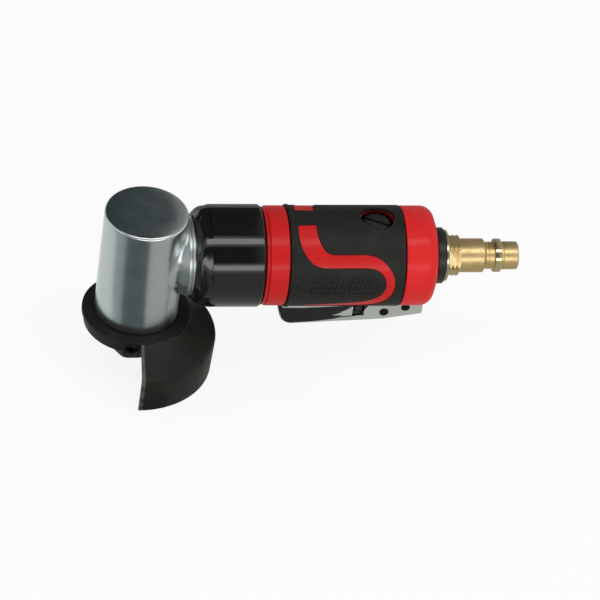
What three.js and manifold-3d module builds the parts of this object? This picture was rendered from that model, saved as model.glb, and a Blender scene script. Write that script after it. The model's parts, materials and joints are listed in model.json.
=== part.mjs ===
// Mini angle grinder driven by compressed air, in millimetres, +Z up.
// The origin is the centre of the spindle stud's free end, with the spindle along Z and the handle along +X.
// Inside the sub-part functions, z = 0 is the handle's axis: one group lifts the whole tool to its place.
import * as THREE from 'three';
import { mergeVertices } from 'three/addons/utils/BufferGeometryUtils.js';
import Module from 'manifold-3d';

const wasm = await Module();
wasm.setup();

// Fits shared by all the pieces
const gap = 0.3;
const slimGap = 0.2;
const overrun = 2;
const weldDistance = 0.0001;
const flatness = 0.002;

// Facets round a full turn
const bodySides = 32;
const midSides = 20;
const smallSides = 12;
const pinSides = 8;
const raceSides = 16;
const hexSides = 6;
const turn = 2 * Math.PI;
const quarterTurn = Math.PI / 2;

// Heights from the handle's axis down to the disc seat, and on to the stud's end
const seatDrop = 38;
const studDrop = 5;

// Angle head
const headRadius = 14.9;
const headTop = 20.3;
const headEdge = 1;
const headDrop = 24.3;
const neckRadius = 13.6;
const neckLength = 5;
const throatRadius = 11.8;
const throatEnd = 11.5;
const stubRadius = 14.3;
const stubStart = 15.2;
const stubLength = 2;
const stubGroove = 0.4;
const spigotRadius = 13.2;
const spigotLength = 9.8;
const chamberRadius = 10.6;
const chamberTop = 9;

// Bevel gears
const gearPitchRadius = 9;
const pinionTeeth = 12;
const gearTeeth = 18;
const faceWidth = 3.3;
const addendum = 0.8;
const dedendum = 1;
const pressureAngle = 20;
const backlashShare = 0.12;
const toothCrestShare = 1.6;
const nearCutShare = 0.7;
const farCutShare = 1.3;
const pinionHubRadius = 4.9;
const gearHubRadius = 7.4;

// Ball bearings: bore and outside are radii
const shaftBearingBore = 4;
const shaftBearingOutside = 8;
const shaftBearingWidth = 5;
const shaftBearingBalls = 7;
const spindleBearingBore = 5;
const spindleBearingOutside = 11;
const spindleBearingWidth = 6;
const spindleBearingBalls = 9;
const ballShare = 0.25;
const landShare = 0.17;
const cageShare = 0.06;
const cageWidthShare = 1.15;

// Pinion shaft
const pinionSeat = 11.1;
const spacerLength = 3.6;
const spacerWall = 1.5;
const driveHexFlats = 4.6;
const driveHexLength = 6.1;

// Spindle and what it carries
const studRadius = 4;
const studChamfer = 0.5;
const spindleStep = 5;
const waistRadius = 4;
const journalRadius = 3.5;
const journalLength = 6.6;
const bushWall = 1;
const bushLength = 6;
const bearingSeatDrop = 17.3;
const keyWidth = 2;
const keyLength = 6;
const keyDepth = 2.6;
const keyTopDrop = 9.5;
const sealThickness = 1.4;
const shoulderInset = 0.4;
const retainerHoleRadius = 0.8;
const flangeHubRadius = 6.3;
const flangeRadius = 9;
const flangeThickness = 5;
const pilotRadius = 4.85;
const pilotHeight = 0.9;
const discNutFlats = 12.4;
const discNutThickness = 2.5;
const discRoom = 2.3;

// Guard
const guardCollarRadius = 19.2;
const guardCollarHeight = 5.6;
const guardSheet = 1.2;
const guardRimRadius = 29.5;
const guardLipInset = 0.6;
const guardBend = 3;
const guardSkirtLength = 13.2;
const guardCrownSink = 0.5;
const guardHemLength = 2.8;
const guardConeAngle = 40;
const bendSteps = 4;
const guardScrewRadius = 1.9;
const guardScrewSocket = 2;
const guardScrewSocketDepth = 2;
const guardBossRadius = 2.25;
const guardBossHeight = 0.7;
const guardScrewAngle = -100;

// Clamp nut
const nutRadius = 18.2;
const nutFrontRadius = 15.4;
const nutShoulderRadius = 17.95;
const nutTaper = 6.2;
const nutLength = 24.5;
const nutLip = 4.4;
const nutChamfer = 1.65;
const nutFlatReach = 16.3;
const nutFlatLength = 5.2;
const nutFlats = 6;
const nutFlatPhase = 32;
const threadRadius = 15.6;
const lockRingRadius = 15.3;
const lockRingWidth = 1.4;
const lockGrooveDepth = 1.1;
const lockRingOpening = 24;

// Motor housing
const housingRadius = 17.75;
const housingEdge = 0.35;
const frontRingLength = 8;
const gripLength = 41.6;
const stripeWidth = 4.7;
const stripeSteps = 26;
const capLength = 7.4;
const capRound = 4.6;
const capRoundAngle = 55;
const capTaper = 5.3;
const capEndRadius = 10.6;
const motorBore = 13.4;

// Grip sleeve
const sleeveProud = 0.2;
const sleeveWall = 1.05;
const ribSink = 0.25;
const sleeveLip = 0.2;
const sleeveLipLength = 1;
const windowRim = 1.4;
const windowRimHeight = 0.3;
const sleeveSlotClearance = 0.9;

// The raised S along the grip's sides, from its upper front end: places as shares of the grip's length,
// of a quarter turn up from the side, and of the stripe's width
const stripeShares = [
  [0.153, 0.855, 1.38], [0.16, 0.675, 1.43], [0.191, 0.534, 1.43], [0.239, 0.431, 1.36], [0.293, 0.383, 1.2],
  [0.359, 0.368, 1.03], [0.43, 0.366, 1], [0.54, 0.366, 1], [0.653, 0.366, 1], [0.733, 0.343, 0.9],
  [0.8, 0.279, 0.76], [0.85, 0.181, 0.68], [0.873, 0.072, 0.65], [0.87, -0.037, 0.66], [0.841, -0.161, 0.71],
  [0.791, -0.261, 0.86], [0.703, -0.352, 0.97], [0.6, -0.4, 1.02], [0.5, -0.43, 1.02], [0.377, -0.46, 1],
  [0.185, -0.48, 0.77],
];

// Air motor
const plateWeb = 3.8;
const linerLength = 23.7;
const linerBore = 10.8;
const linerOffset = 0.9;
const rotorRadius = 9.6;
const rotorSlotFloor = 4.9;
const vaneThickness = 0.9;
const vaneCount = 5;
const locatingPinRadius = 0.9;
const locatingPinLength = 38;
const locatingPinSeat = 1.8;

// Throttle lever
const pivotOutset = 4.1;
const pivotHang = 1.35;
const pivotPinRadius = 1.4;
const leverWidth = 12.6;
const leverSheet = 1;
const leverStroke = 3.5;
const leverFrontInset = 0.5;
const leverFrontRound = 4.6;
const leverFrontHang = 9.15;
const leverKneeInset = 3.9;
const leverKneeHang = 7.1;
const leverRearOutset = 10.5;
const leverRearHang = 4.5;
const leverWallHang = 0.55;
const leverEarSink = 0.55;
const leverEarOutset = 1.1;
const leverEarRamp = 2.2;
const lugLength = 6.8;
const lugWidth = 9.8;
const lugEyeRadius = 2.2;
const lugStartSink = 0.75;
const lugRootSink = 7.75;

// Safety latch
const latchPinInset = 3.5;
const latchPinHang = 3.45;
const latchPinRadius = 0.9;
const latchPinHeadRadius = 1.5;
const latchHubRadius = 1.6;
const latchTurn = 9;
const latchBlockInset = 14;
const latchBlockLength = 2.4;
const latchBlockSink = 0.75;
const latchBlockHeight = 3.6;
const latchNotchInset = 14.9;
const latchNotchLength = 4.2;
const latchArmHeight = 1.9;
const latchArmWidth = 1.2;
const latchArmReach = 4.7;
const latchSheet = 0.9;
const latchTailInset = 6.8;
const latchTailHang = 8.75;
const latchTailWidth = 2.4;
const latchFootInset = 7.9;
const latchFootLength = 3.4;
const latchFootThickness = 0.7;
const latchSlotLength = 3.6;
const latchSpringRadius = 1.4;
const latchSpringWire = 0.2;
const latchSpringPitch = 0.9;
const latchSpringTurns = 3;

// Throttle valve and regulator, on one upright axis: sizes and drops below the handle's axis
const valveInset = 9.5;
const valveBore = 3.8;
const valveBushLength = 3.3;
const valveStemRadius = 1.5;
const valveSeatDrop = 10;
const valveSeatThickness = 2;
const valveSeatBore = 2.1;
const valveSealThickness = 0.8;
const valveHeadRadius = 2.9;
const valveHeadThickness = 1.8;
const valveChamberTop = 0.9;
const valveSpringRadius = 2.2;
const valveSpringWire = 0.35;
const valveSpringTurns = 4;
const regulatorBore = 5.9;
const regulatorFloor = 3;
const regulatorSink = 3;
const regulatorBossRadius = 4.7;
const regulatorBossHeight = 2;
const regulatorSlotWidth = 1.2;
const regulatorSlotDepth = 1.6;
const regulatorSlotTurn = 63;
const regulatorCupRadius = 4;
const regulatorCupDepth = 3.4;
const regulatorPort = 1.5;
const regulatorSealWire = 0.5;
const regulatorSealSides = 6;
const regulatorSealHeight = 9;
const snapRingWall = 1.1;
const snapRingThickness = 0.8;
const snapRingOpening = 40;
const airwayRadius = 1.5;
const inletAirwayHeight = 5;
const motorAirwayShift = 3.1;
const linerPassageLength = 9;
const linerPortPlace = 6;
const airwayOverlap = 1;

// Air inlet
const inletThreadRadius = 6.6;
const inletThreadOutset = 4.1;
const inletBore = 5.2;
const inletFlangeRadius = 9.2;
const inletFlangeThickness = 1.1;
const screenThickness = 0.8;
const screenHoleRadius = 0.7;
const screenHoleCircle = 2.8;
const screenHoles = 6;
const exhaustRingBore = 7.2;
const exhaustRingRadius = 10;
const exhaustRingWidth = 2.7;
const exhaustSlots = 12;
const exhaustSlotWidth = 1.1;
const exhaustSlotDepth = 0.7;
const exhaustHoleRadius = 1.15;
const exhaustHoleCircle = 8.25;
const exhaustHoleAngle = 26;

// Brass air plug
const plugThreadRadius = 4.9;
const plugThreadLength = 9;
const plugHexFlats = 13;
const plugHexLength = 4.2;
const plugHexCorner = 7.35;
const plugBodyRadius = 6.05;
const plugBodyLength = 8.8;
const plugShoulder = 1.1;
const plugGrooveRadius = 4.85;
const plugGrooveLength = 2.1;
const plugCollarRadius = 6;
const plugCollarLength = 2.2;
const plugNoseRadius = 5;
const plugNoseLength = 7.2;
const plugNoseChamfer = 1.3;
const plugBore = 3.1;
const plugNotchDepth = 0.6;
const plugNotchWidth = 0.9;

// Places along the handle, worked out from the sizes above: an inset lies ahead of the grip's rear end
// and an outset behind it
const axisHeight = seatDrop + studDrop;
const stubEnd = stubStart + stubLength;
const spigotEnd = stubEnd + spigotLength;
const nutFront = stubEnd + gap;
const nutRear = nutFront + nutLength;
const housingFront = spigotEnd + gap;
const ringStart = nutRear + gap;
const ringEnd = ringStart + frontRingLength;
const gripEnd = ringEnd + gripLength;
const pivotPlace = gripEnd + pivotOutset;
const leverKneePlace = gripEnd - leverKneeInset;
const leverRear = gripEnd + leverRearOutset;
const leverEarStart = gripEnd + leverEarOutset;
const latchPinPlace = gripEnd - latchPinInset;
const latchBlockStart = gripEnd - latchBlockInset;
const latchNotchStart = gripEnd - latchNotchInset;
const latchTailStart = gripEnd - latchTailInset;
const latchFootStart = gripEnd - latchFootInset;
const valvePlace = gripEnd - valveInset;
const inletThreadStart = gripEnd + inletThreadOutset;
const capRoundStart = gripEnd + capLength;
const capEnd = capRoundStart + capTaper;
const sleeveRadius = housingRadius + sleeveProud;
const ribRadius = sleeveRadius - ribSink;
const gripFloorRadius = sleeveRadius - sleeveWall - gap;
const sleeveSlot = leverWidth + 2 * sleeveSlotClearance;
const regulatorTop = gripFloorRadius - regulatorSink;
const regulatorBossTop = regulatorTop + regulatorBossHeight;
const regulatorSealPitch = regulatorBore - slimGap - regulatorSealWire;
const plateRadius = motorBore - gap;
const pocketDepth = shaftBearingWidth + 2 * gap;
const frontPlateEnd = housingFront + pocketDepth + plateWeb;
const linerStart = frontPlateEnd + gap;
const linerEnd = linerStart + linerLength;
const rearPlateStart = linerEnd + gap;
const rearPlateEnd = rearPlateStart + plateWeb + pocketDepth;
const motorBoreEnd = rearPlateEnd + gap;
const rotorStart = linerStart + gap;
const rotorEnd = linerEnd - gap;
const shaftRadius = shaftBearingBore - gap;
const exhaustRingStart = capEnd + gap;
const exhaustRingEnd = exhaustRingStart + exhaustRingWidth;
const inletFlangeStart = exhaustRingEnd + gap;
const inletFlangeEnd = inletFlangeStart + inletFlangeThickness;
const plugHexStart = inletFlangeEnd + gap;
const frontBearingPlace = pinionSeat + gap;
const spacerStart = frontBearingPlace + shaftBearingWidth + gap;
const needleStart = spacerStart + spacerLength + gap;
const dowelReach = (plateRadius + linerBore - linerOffset) / 2;
const motorAirwayCentre = [motorAirwayShift, -dowelReach];
const locatingPinStart = rearPlateEnd + gap + locatingPinSeat - locatingPinLength;

// Drops below the handle's axis: the lever, its lug and the latch follow the housing's underside
const pivotDrop = housingRadius + pivotHang;
const lugStartDrop = housingRadius - lugStartSink;
const lugRootDrop = housingRadius - lugRootSink;
const leverFrontDrop = housingRadius + leverFrontHang;
const leverKneeDrop = housingRadius + leverKneeHang;
const leverRearDrop = housingRadius + leverRearHang;
const leverWallDrop = housingRadius + leverWallHang;
const leverEarDrop = housingRadius - leverEarSink;
const leverFront = ringEnd + leverFrontInset;
const leverRoundCentre = [leverFront + leverFrontRound, leverFrontRound - leverFrontDrop];
const leverUnderside = [[leverKneePlace, -leverKneeDrop], [leverRear, -leverRearDrop]];
const latchPinDrop = housingRadius + latchPinHang;
const latchBlockDrop = housingRadius - latchBlockSink;
const latchTailDrop = housingRadius + latchTailHang;
const valveBushTopDrop = gripFloorRadius - valveBushLength;
const sealBase = valveSeatThickness - valveSeatDrop + slimGap;
const valveHeadBase = sealBase + valveSealThickness + slimGap;

// Heights in the angle head, measured from the handle's axis
const neckBottom = -headDrop - neckLength;
const spindleBearingTop = -bearingSeatDrop - gap;
const spindleBearingBottom = spindleBearingTop - spindleBearingWidth;
const sealTop = spindleBearingBottom - gap;
const sealBottom = sealTop - sealThickness;
const retainerTop = sealBottom - gap;
const retainerBottom = neckBottom + gap;
const spindleRadius = spindleBearingBore - gap;
const bearingHouseRadius = spindleBearingOutside + gap;
const discSeat = -seatDrop;
const studEnd = -axisHeight;
const collarTop = -headDrop - gap;
const collarMiddle = collarTop - guardCollarHeight / 2;
const keyStart = spindleRadius - keyDepth / 2;

// The bevel pair, whose cones share the point where the two axes cross
const pinionPitchRadius = gearPitchRadius * pinionTeeth / gearTeeth;
const coneDistance = Math.hypot(gearPitchRadius, pinionPitchRadius);
const toothModule = 2 * gearPitchRadius / gearTeeth;

// Colours and finishes
const finishes = {
  polished: new THREE.MeshStandardMaterial({ color: 0xb9bcb8, roughness: 0.18, metalness: 1 }),
  blackCase: new THREE.MeshStandardMaterial({ color: 0x1c1c18, roughness: 0.25, metalness: 0.2 }),
  redPaint: new THREE.MeshStandardMaterial({ color: 0xd62f33, roughness: 0.3, metalness: 0.1 }),
  rubber: new THREE.MeshStandardMaterial({ color: 0x2a2a26, roughness: 0.75, metalness: 0 }),
  guardBlack: new THREE.MeshStandardMaterial({ color: 0x2a2b28, roughness: 0.45, metalness: 0.3 }),
  darkSteel: new THREE.MeshStandardMaterial({ color: 0x3a3a3a, roughness: 0.4, metalness: 0.9 }),
  steel: new THREE.MeshStandardMaterial({ color: 0x9a9a9c, roughness: 0.3, metalness: 1 }),
  chrome: new THREE.MeshStandardMaterial({ color: 0xd8dad8, roughness: 0.08, metalness: 1 }),
  brass: new THREE.MeshStandardMaterial({ color: 0xc9a860, roughness: 0.22, metalness: 1 }),
  bronze: new THREE.MeshStandardMaterial({ color: 0xa0743c, roughness: 0.4, metalness: 1 }),
  blackPlastic: new THREE.MeshStandardMaterial({ color: 0x20211f, roughness: 0.5, metalness: 0 }),
  fibre: new THREE.MeshStandardMaterial({ color: 0x6b5238, roughness: 0.8, metalness: 0 }),
};

const radians = (degrees) => THREE.MathUtils.degToRad(degrees);

// Turns a closed geometry into a solid, facing out, without seams or slivers
function solid(geometry) {
  const bare = new THREE.BufferGeometry();
  bare.setAttribute('position', geometry.getAttribute('position').clone());
  if (geometry.index) bare.setIndex(geometry.index.clone());
  const merged = mergeVertices(bare, weldDistance);
  const place = merged.getAttribute('position');
  const corners = [];
  let volume = 0;
  const [a, b, c] = [new THREE.Vector3(), new THREE.Vector3(), new THREE.Vector3()];
  for (let i = 0; i < merged.index.count; i += 3) {
    const ids = [0, 1, 2].map((step) => merged.index.getX(i + step));
    if (new Set(ids).size < 3) continue;
    [a, b, c].forEach((corner, step) => corner.fromBufferAttribute(place, ids[step]));
    volume += a.dot(b.cross(c));
    corners.push(...ids);
  }
  if (volume < 0) {
    for (let i = 0; i < corners.length; i += 3) [corners[i], corners[i + 1]] = [corners[i + 1], corners[i]];
  }
  const vertProperties = new Float32Array(place.array);
  return new wasm.Manifold(new wasm.Mesh({ numProp: 3, vertProperties, triVerts: new Uint32Array(corners) }));
}

function toGeometry(body) {
  const cut = body.getMesh();
  const geometry = new THREE.BufferGeometry();
  geometry.setAttribute('position', new THREE.BufferAttribute(new Float32Array(cut.vertProperties), 3));
  geometry.setIndex(new THREE.BufferAttribute(new Uint32Array(cut.triVerts), 1));
  return geometry;
}

// A closed outline of [along, radius] points, turned about the X, Y or Z axis
function revolve(axis, outline, sides, phase = 0) {
  const points = outline.map(([along, radius]) => new THREE.Vector2(radius, along));
  points.push(points[0].clone());
  const geometry = new THREE.LatheGeometry(points, sides, phase);
  if (axis === 'x') geometry.rotateZ(-quarterTurn);
  if (axis === 'z') geometry.rotateX(quarterTurn);
  return solid(geometry);
}

// A flat outline pushed along an axis: [y, z] points along x, [x, z] points along y, [x, y] points along z
function prism(axis, outline, from, to) {
  const shape = new THREE.Shape(outline.map(([u, v]) => new THREE.Vector2(u, v)));
  const geometry = new THREE.ExtrudeGeometry(shape, { depth: to - from, bevelEnabled: false });
  if (axis === 'x') {
    const [x, y, z] = [new THREE.Vector3(1, 0, 0), new THREE.Vector3(0, 1, 0), new THREE.Vector3(0, 0, 1)];
    geometry.applyMatrix4(new THREE.Matrix4().makeBasis(y, z, x)).translate(from, 0, 0);
  }
  if (axis === 'y') geometry.rotateX(quarterTurn).translate(0, to, 0);
  if (axis === 'z') geometry.translate(0, 0, from);
  return solid(geometry);
}

function circle(radius, sides, [u, v] = [0, 0]) {
  return Array.from({ length: sides }, (_, i) => {
    const angle = (i + 0.5) * turn / sides;
    return [u + radius * Math.cos(angle), v + radius * Math.sin(angle)];
  });
}

const rod = (axis, radius, from, to, sides = smallSides, centre = [0, 0]) =>
  prism(axis, circle(radius, sides, centre), from, to);

const tube = (axis, inner, outer, from, to, sides = midSides) =>
  revolve(axis, [[from, inner], [from, outer], [to, outer], [to, inner]], sides);

const block = ([x0, x1], [y0, y1], [z0, z1]) =>
  prism('z', [[x0, y0], [x1, y0], [x1, y1], [x0, y1]], z0, z1);

function hexagon(flats, phase = 0) {
  const corner = flats / 2 / Math.cos(turn / hexSides / 2);
  return Array.from({ length: hexSides }, (_, i) => {
    const angle = phase + i * turn / hexSides;
    return [corner * Math.cos(angle), corner * Math.sin(angle)];
  });
}

// Points on an arc, from one angle to another in degrees
function arc([u, v], radius, from, to, steps) {
  return Array.from({ length: steps + 1 }, (_, i) => {
    const angle = radians(from + (to - from) * i / steps);
    return [u + radius * Math.cos(angle), v + radius * Math.sin(angle)];
  });
}

function moved(body, { turnX = 0, turnY = 0, turnZ = 0, at = [0, 0, 0] }) {
  const geometry = toGeometry(body);
  geometry.rotateX(turnX).rotateY(turnY).rotateZ(turnZ).translate(...at);
  return solid(geometry);
}

const joined = (bodies) => bodies.reduce((whole, next) => whole.add(next));
const cutAway = (body, cutters) => cutters.reduce((whole, next) => whole.subtract(next), body);

// A gap in a ring, for a snap ring or a lock ring: a wedge about the X or Z axis, towards the axis's side
function wedge(axis, opening, reach, from, to, middle) {
  const [first, last] = [radians(middle - opening / 2), radians(middle + opening / 2)];
  const edge = (angle) => [reach * Math.cos(angle), reach * Math.sin(angle)];
  return prism(axis, [[0, 0], edge(first), edge(last)], from, to);
}

function coil({ radius, wire, turns, length, steps = 8, sides = 5 }) {
  const count = Math.round(turns * steps);
  const vertices = [];
  const triangles = [];
  const rise = length / (turns * turn);
  for (let i = 0; i <= count; i += 1) {
    const angle = turns * turn * i / count;
    const out = new THREE.Vector3(Math.cos(angle), Math.sin(angle), 0);
    const along = new THREE.Vector3(-radius * Math.sin(angle), radius * Math.cos(angle), rise).normalize();
    const side = new THREE.Vector3().crossVectors(along, out);
    const middle = out.clone().multiplyScalar(radius).setZ(length * i / count);
    for (let k = 0; k < sides; k += 1) {
      const swing = k * turn / sides;
      const point = middle.clone().addScaledVector(out, wire * Math.cos(swing));
      point.addScaledVector(side, wire * Math.sin(swing));
      vertices.push(point.x, point.y, point.z);
    }
  }
  for (let i = 0; i < count; i += 1) {
    for (let k = 0; k < sides; k += 1) {
      const [here, next] = [i * sides + k, i * sides + (k + 1) % sides];
      triangles.push(here, next, next + sides, here, next + sides, here + sides);
    }
  }
  for (let k = 1; k < sides - 1; k += 1) {
    const last = count * sides;
    triangles.push(0, k + 1, k, last, last + k, last + k + 1);
  }
  const geometry = new THREE.BufferGeometry();
  geometry.setAttribute('position', new THREE.Float32BufferAttribute(vertices, 3));
  geometry.setIndex(triangles);
  return solid(geometry);
}

// Ball bearing pieces, along +Z from z = 0
function race(inner, outer, width, pitch, grooveRadius) {
  const land = outer > pitch && inner > pitch ? inner : outer;
  const side = Math.sign(land - pitch);
  const offset = Math.abs(land - pitch);
  const reach = Math.acos(offset / grooveRadius);
  const groove = [reach, 0, -reach].map((angle) => [
    width / 2 + grooveRadius * Math.sin(angle), pitch + side * grooveRadius * Math.cos(angle),
  ]);
  return side > 0
    ? [[0, inner], [0, outer], [width, outer], [width, inner], ...groove]
    : [[0, inner], [0, outer], ...groove.reverse(), [width, outer], [width, inner]];
}

function ballBearing(bore, outside, width, balls) {
  const section = outside - bore;
  const pitch = (bore + outside) / 2;
  const ballRadius = ballShare * section;
  const grooveRadius = ballRadius + gap;
  const land = landShare * section;
  const cageWidth = cageWidthShare * ballRadius;
  let cage = tube('z', pitch - cageShare * section, pitch + cageShare * section,
    width / 2 - cageWidth, width / 2 + cageWidth, 2 * balls);
  for (let i = 0; i < balls; i += 1) {
    const angle = i * turn / balls;
    const ball = new THREE.IcosahedronGeometry(ballRadius);
    ball.translate(pitch * Math.cos(angle), pitch * Math.sin(angle), width / 2);
    cage = cage.add(solid(ball));
  }
  return {
    outer: revolve('z', race(pitch + land, outside, width, pitch, grooveRadius), raceSides),
    inner: revolve('z', race(bore, pitch - land, width, pitch, grooveRadius), raceSides),
    cage,
  };
}

// Bevel gear along +Z with its apex at the origin, and a tooth or a space towards +X
function bevelGear(teeth, mate, hubRadius, hubEnd, toothAhead) {
  const pitchAngle = Math.atan2(teeth, mate);
  const tipAngle = pitchAngle + addendum / coneDistance;
  const rootAngle = pitchAngle - dedendum / coneDistance;
  const on = (distance, angle) => [distance * Math.cos(angle), distance * Math.sin(angle)];
  const inner = coneDistance - faceWidth;
  const rootOuter = on(coneDistance, rootAngle);
  const backStart = rootOuter[0] + (rootOuter[1] - hubRadius);
  const blank = revolve('z', [
    [on(inner, rootAngle)[0], 0], on(inner, rootAngle), on(inner, tipAngle), on(coneDistance, tipAngle),
    rootOuter, [backStart, hubRadius], [hubEnd, hubRadius], [hubEnd, 0],
  ], 2 * teeth, quarterTurn);
  const flank = Math.tan(radians(pressureAngle)) * toothModule / (coneDistance * Math.sin(pitchAngle));
  const quarter = turn / teeth / 4 * (1 + backlashShare);
  const topAngle = pitchAngle + toothCrestShare * addendum / coneDistance;
  const spaces = [];
  for (let i = 0; i < teeth; i += 1) {
    const middle = (i + (toothAhead ? 0.5 : 0)) * turn / teeth;
    spaces.push(toothSpace(rootAngle, quarter - flank, topAngle, quarter + toothCrestShare * flank, middle));
  }
  return cutAway(blank, spaces);
}

// One tooth space: a four-sided frustum whose edges all pass through the apex
function toothSpace(rootAngle, rootHalf, topAngle, topHalf, middle) {
  const lines = [[rootAngle, -rootHalf], [rootAngle, rootHalf], [topAngle, topHalf], [topAngle, -topHalf]];
  const point = (distance, [cone, swing]) => new THREE.Vector3(
    Math.sin(cone) * Math.cos(middle + swing), Math.sin(cone) * Math.sin(middle + swing), Math.cos(cone),
  ).multiplyScalar(distance);
  const near = (coneDistance - faceWidth) * nearCutShare;
  const far = coneDistance * farCutShare;
  const corners = [...lines.map((line) => point(near, line)), ...lines.map((line) => point(far, line))];
  const geometry = new THREE.BufferGeometry().setFromPoints(corners);
  geometry.setIndex([
    0, 2, 1, 0, 3, 2, 4, 5, 6, 4, 6, 7,
    0, 1, 5, 0, 5, 4, 1, 2, 6, 1, 6, 5, 2, 3, 7, 2, 7, 6, 3, 0, 4, 3, 4, 7,
  ]);
  return solid(geometry);
}

// Angle head
function headHousing() {
  const round = arc([headTop - headEdge, headRadius - headEdge], headEdge, 90, 0, 2);
  const shell = revolve('z', [
    [neckBottom, 0], [neckBottom, neckRadius], [-headDrop, neckRadius], [-headDrop, headRadius],
    ...round, [headTop, 0],
  ], bodySides);
  const groove = stubStart + stubLength / 2;
  const lockGroove = nutFront + nutLip;
  const lockGrooveEnd = lockGroove + lockRingWidth + 2 * gap;
  const stub = revolve('x', [
    [0, 0], [0, throatRadius], [throatEnd, throatRadius], [stubStart, stubRadius],
    [groove - stubGroove, stubRadius], [groove, stubRadius - stubGroove], [groove + stubGroove, stubRadius],
    [stubEnd, stubRadius], [stubEnd, spigotRadius], [lockGroove, spigotRadius],
    [lockGroove, spigotRadius - lockGrooveDepth], [lockGrooveEnd, spigotRadius - lockGrooveDepth],
    [lockGrooveEnd, spigotRadius], [spigotEnd, spigotRadius], [spigotEnd, 0],
  ], bodySides);
  const bushBore = journalRadius + gap + bushWall + gap;
  const bushBoreEnd = chamberTop + bushLength + 2 * gap;
  const chamber = revolve('z', [
    [neckBottom - overrun, 0], [neckBottom - overrun, bearingHouseRadius],
    [-bearingSeatDrop, bearingHouseRadius], [-bearingSeatDrop, chamberRadius], [chamberTop, chamberRadius],
    [chamberTop, bushBore], [bushBoreEnd, bushBore], [bushBoreEnd, 0],
  ], midSides);
  const pinionTipAngle = Math.atan2(pinionTeeth, gearTeeth) + addendum / coneDistance;
  const pinionBore = coneDistance * Math.sin(pinionTipAngle) + 2 * gap;
  const shaftBore = revolve('x', [
    [0, 0], [0, pinionBore], [pinionSeat, pinionBore], [pinionSeat, shaftBearingOutside + gap],
    [spigotEnd + overrun, shaftBearingOutside + gap], [spigotEnd + overrun, 0],
  ], midSides);
  return shell.add(stub).subtract(chamber).subtract(shaftBore);
}

function lockRing() {
  const start = nutFront + nutLip + gap;
  const inner = spigotRadius - lockGrooveDepth + gap;
  const ring = tube('x', inner, lockRingRadius, start, start + lockRingWidth, bodySides);
  const opening = wedge('x', lockRingOpening, 2 * lockRingRadius, start - overrun, start + 2 * overrun, 90);
  return ring.subtract(opening);
}

function clampNut() {
  const shoulder = nutFront + nutFlatLength;
  const outer = revolve('x', [
    [nutFront, 0], [nutFront, nutFrontRadius], [nutFront + nutTaper / 3, nutShoulderRadius - nutTaper / 9],
    [nutFront + nutTaper * 2 / 3, nutShoulderRadius], [nutFront + nutTaper, nutRadius],
    [nutRear - nutChamfer, nutRadius], [nutRear, nutRadius - nutChamfer], [nutRear, 0],
  ], bodySides);
  const faces = [];
  for (let i = 0; i < nutFlats; i += 1) {
    const slab = block([nutFront - overrun, shoulder], [-nutRadius, nutRadius],
      [nutFlatReach, 2 * nutRadius]);
    faces.push(moved(slab, { turnX: radians(90 - nutFlatPhase) + i * turn / nutFlats }));
  }
  const bore = revolve('x', [
    [nutFront - overrun, 0], [nutFront - overrun, spigotRadius + gap],
    [nutFront + nutLip, spigotRadius + gap], [nutFront + nutLip, threadRadius + gap],
    [nutRear + overrun, threadRadius + gap], [nutRear + overrun, 0],
  ], bodySides);
  return cutAway(outer, faces).subtract(bore);
}

// Spindle and what turns with it
function spindle() {
  const shoulder = spindleBearingBottom + shoulderInset;
  const journalTop = chamberTop + bushLength;
  const shaft = revolve('z', [
    [studEnd, 0], [studEnd, studRadius - studChamfer], [studEnd + studChamfer, studRadius],
    [shoulder, studRadius], [shoulder, spindleRadius], [-spindleStep, spindleRadius],
    [-spindleStep, waistRadius], [journalTop - journalLength, waistRadius],
    [journalTop - journalLength, journalRadius], [journalTop, journalRadius], [journalTop, 0],
  ], midSides);
  return shaft.subtract(keySpace());
}

function keySpace() {
  const half = keyWidth / 2 + slimGap;
  const far = keyStart + keyDepth + slimGap;
  return block([keyStart - slimGap, far], [-half, half],
    [-keyTopDrop - keyLength - slimGap, slimGap - keyTopDrop]);
}

const gearKey = () => block([keyStart, keyStart + keyDepth], [-keyWidth / 2, keyWidth / 2],
  [-keyTopDrop - keyLength, -keyTopDrop]);

function drivenGear() {
  const upright = bevelGear(gearTeeth, pinionTeeth, gearHubRadius, bearingSeatDrop, false);
  const gear = moved(upright, { turnX: Math.PI });
  const bore = rod('z', spindleRadius + gap, -bearingSeatDrop - overrun, 0, midSides);
  return gear.subtract(bore).subtract(keySpace());
}

function spindleBush() {
  const inner = journalRadius + gap;
  return tube('z', inner, inner + bushWall, chamberTop + gap, chamberTop + bushLength, smallSides);
}

const bearingRetainer = () => {
  const ring = tube('z', flangeHubRadius + gap, spindleBearingOutside, retainerBottom, retainerTop, midSides);
  const out = (flangeHubRadius + spindleBearingOutside) / 2;
  const hole = (side) => rod('z', retainerHoleRadius, retainerBottom - overrun,
    retainerBottom + sealThickness, pinSides, [side * out, 0]);
  return ring.subtract(hole(1)).subtract(hole(-1));
};

const dustSeal = () => tube('z', flangeHubRadius + gap, spindleBearingOutside, sealBottom, sealTop, midSides);

function innerFlange() {
  const plateTop = discSeat + flangeThickness;
  return revolve('z', [
    [discSeat - pilotHeight, studRadius + gap], [discSeat - pilotHeight, pilotRadius],
    [discSeat, pilotRadius], [discSeat, flangeRadius],
    [plateTop - slimGap, flangeRadius], [plateTop, flangeRadius - slimGap],
    [plateTop, flangeHubRadius], [sealTop, flangeHubRadius], [sealTop, studRadius + gap],
  ], midSides);
}

function discNut() {
  const top = discSeat - discRoom;
  const body = prism('z', hexagon(discNutFlats), top - discNutThickness, top);
  const seat = rod('z', pilotRadius + gap, top - pilotHeight, top + overrun, midSides);
  const bore = rod('z', studRadius + gap, top - discNutThickness - overrun, top + overrun, midSides);
  return body.subtract(seat).subtract(bore);
}

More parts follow.
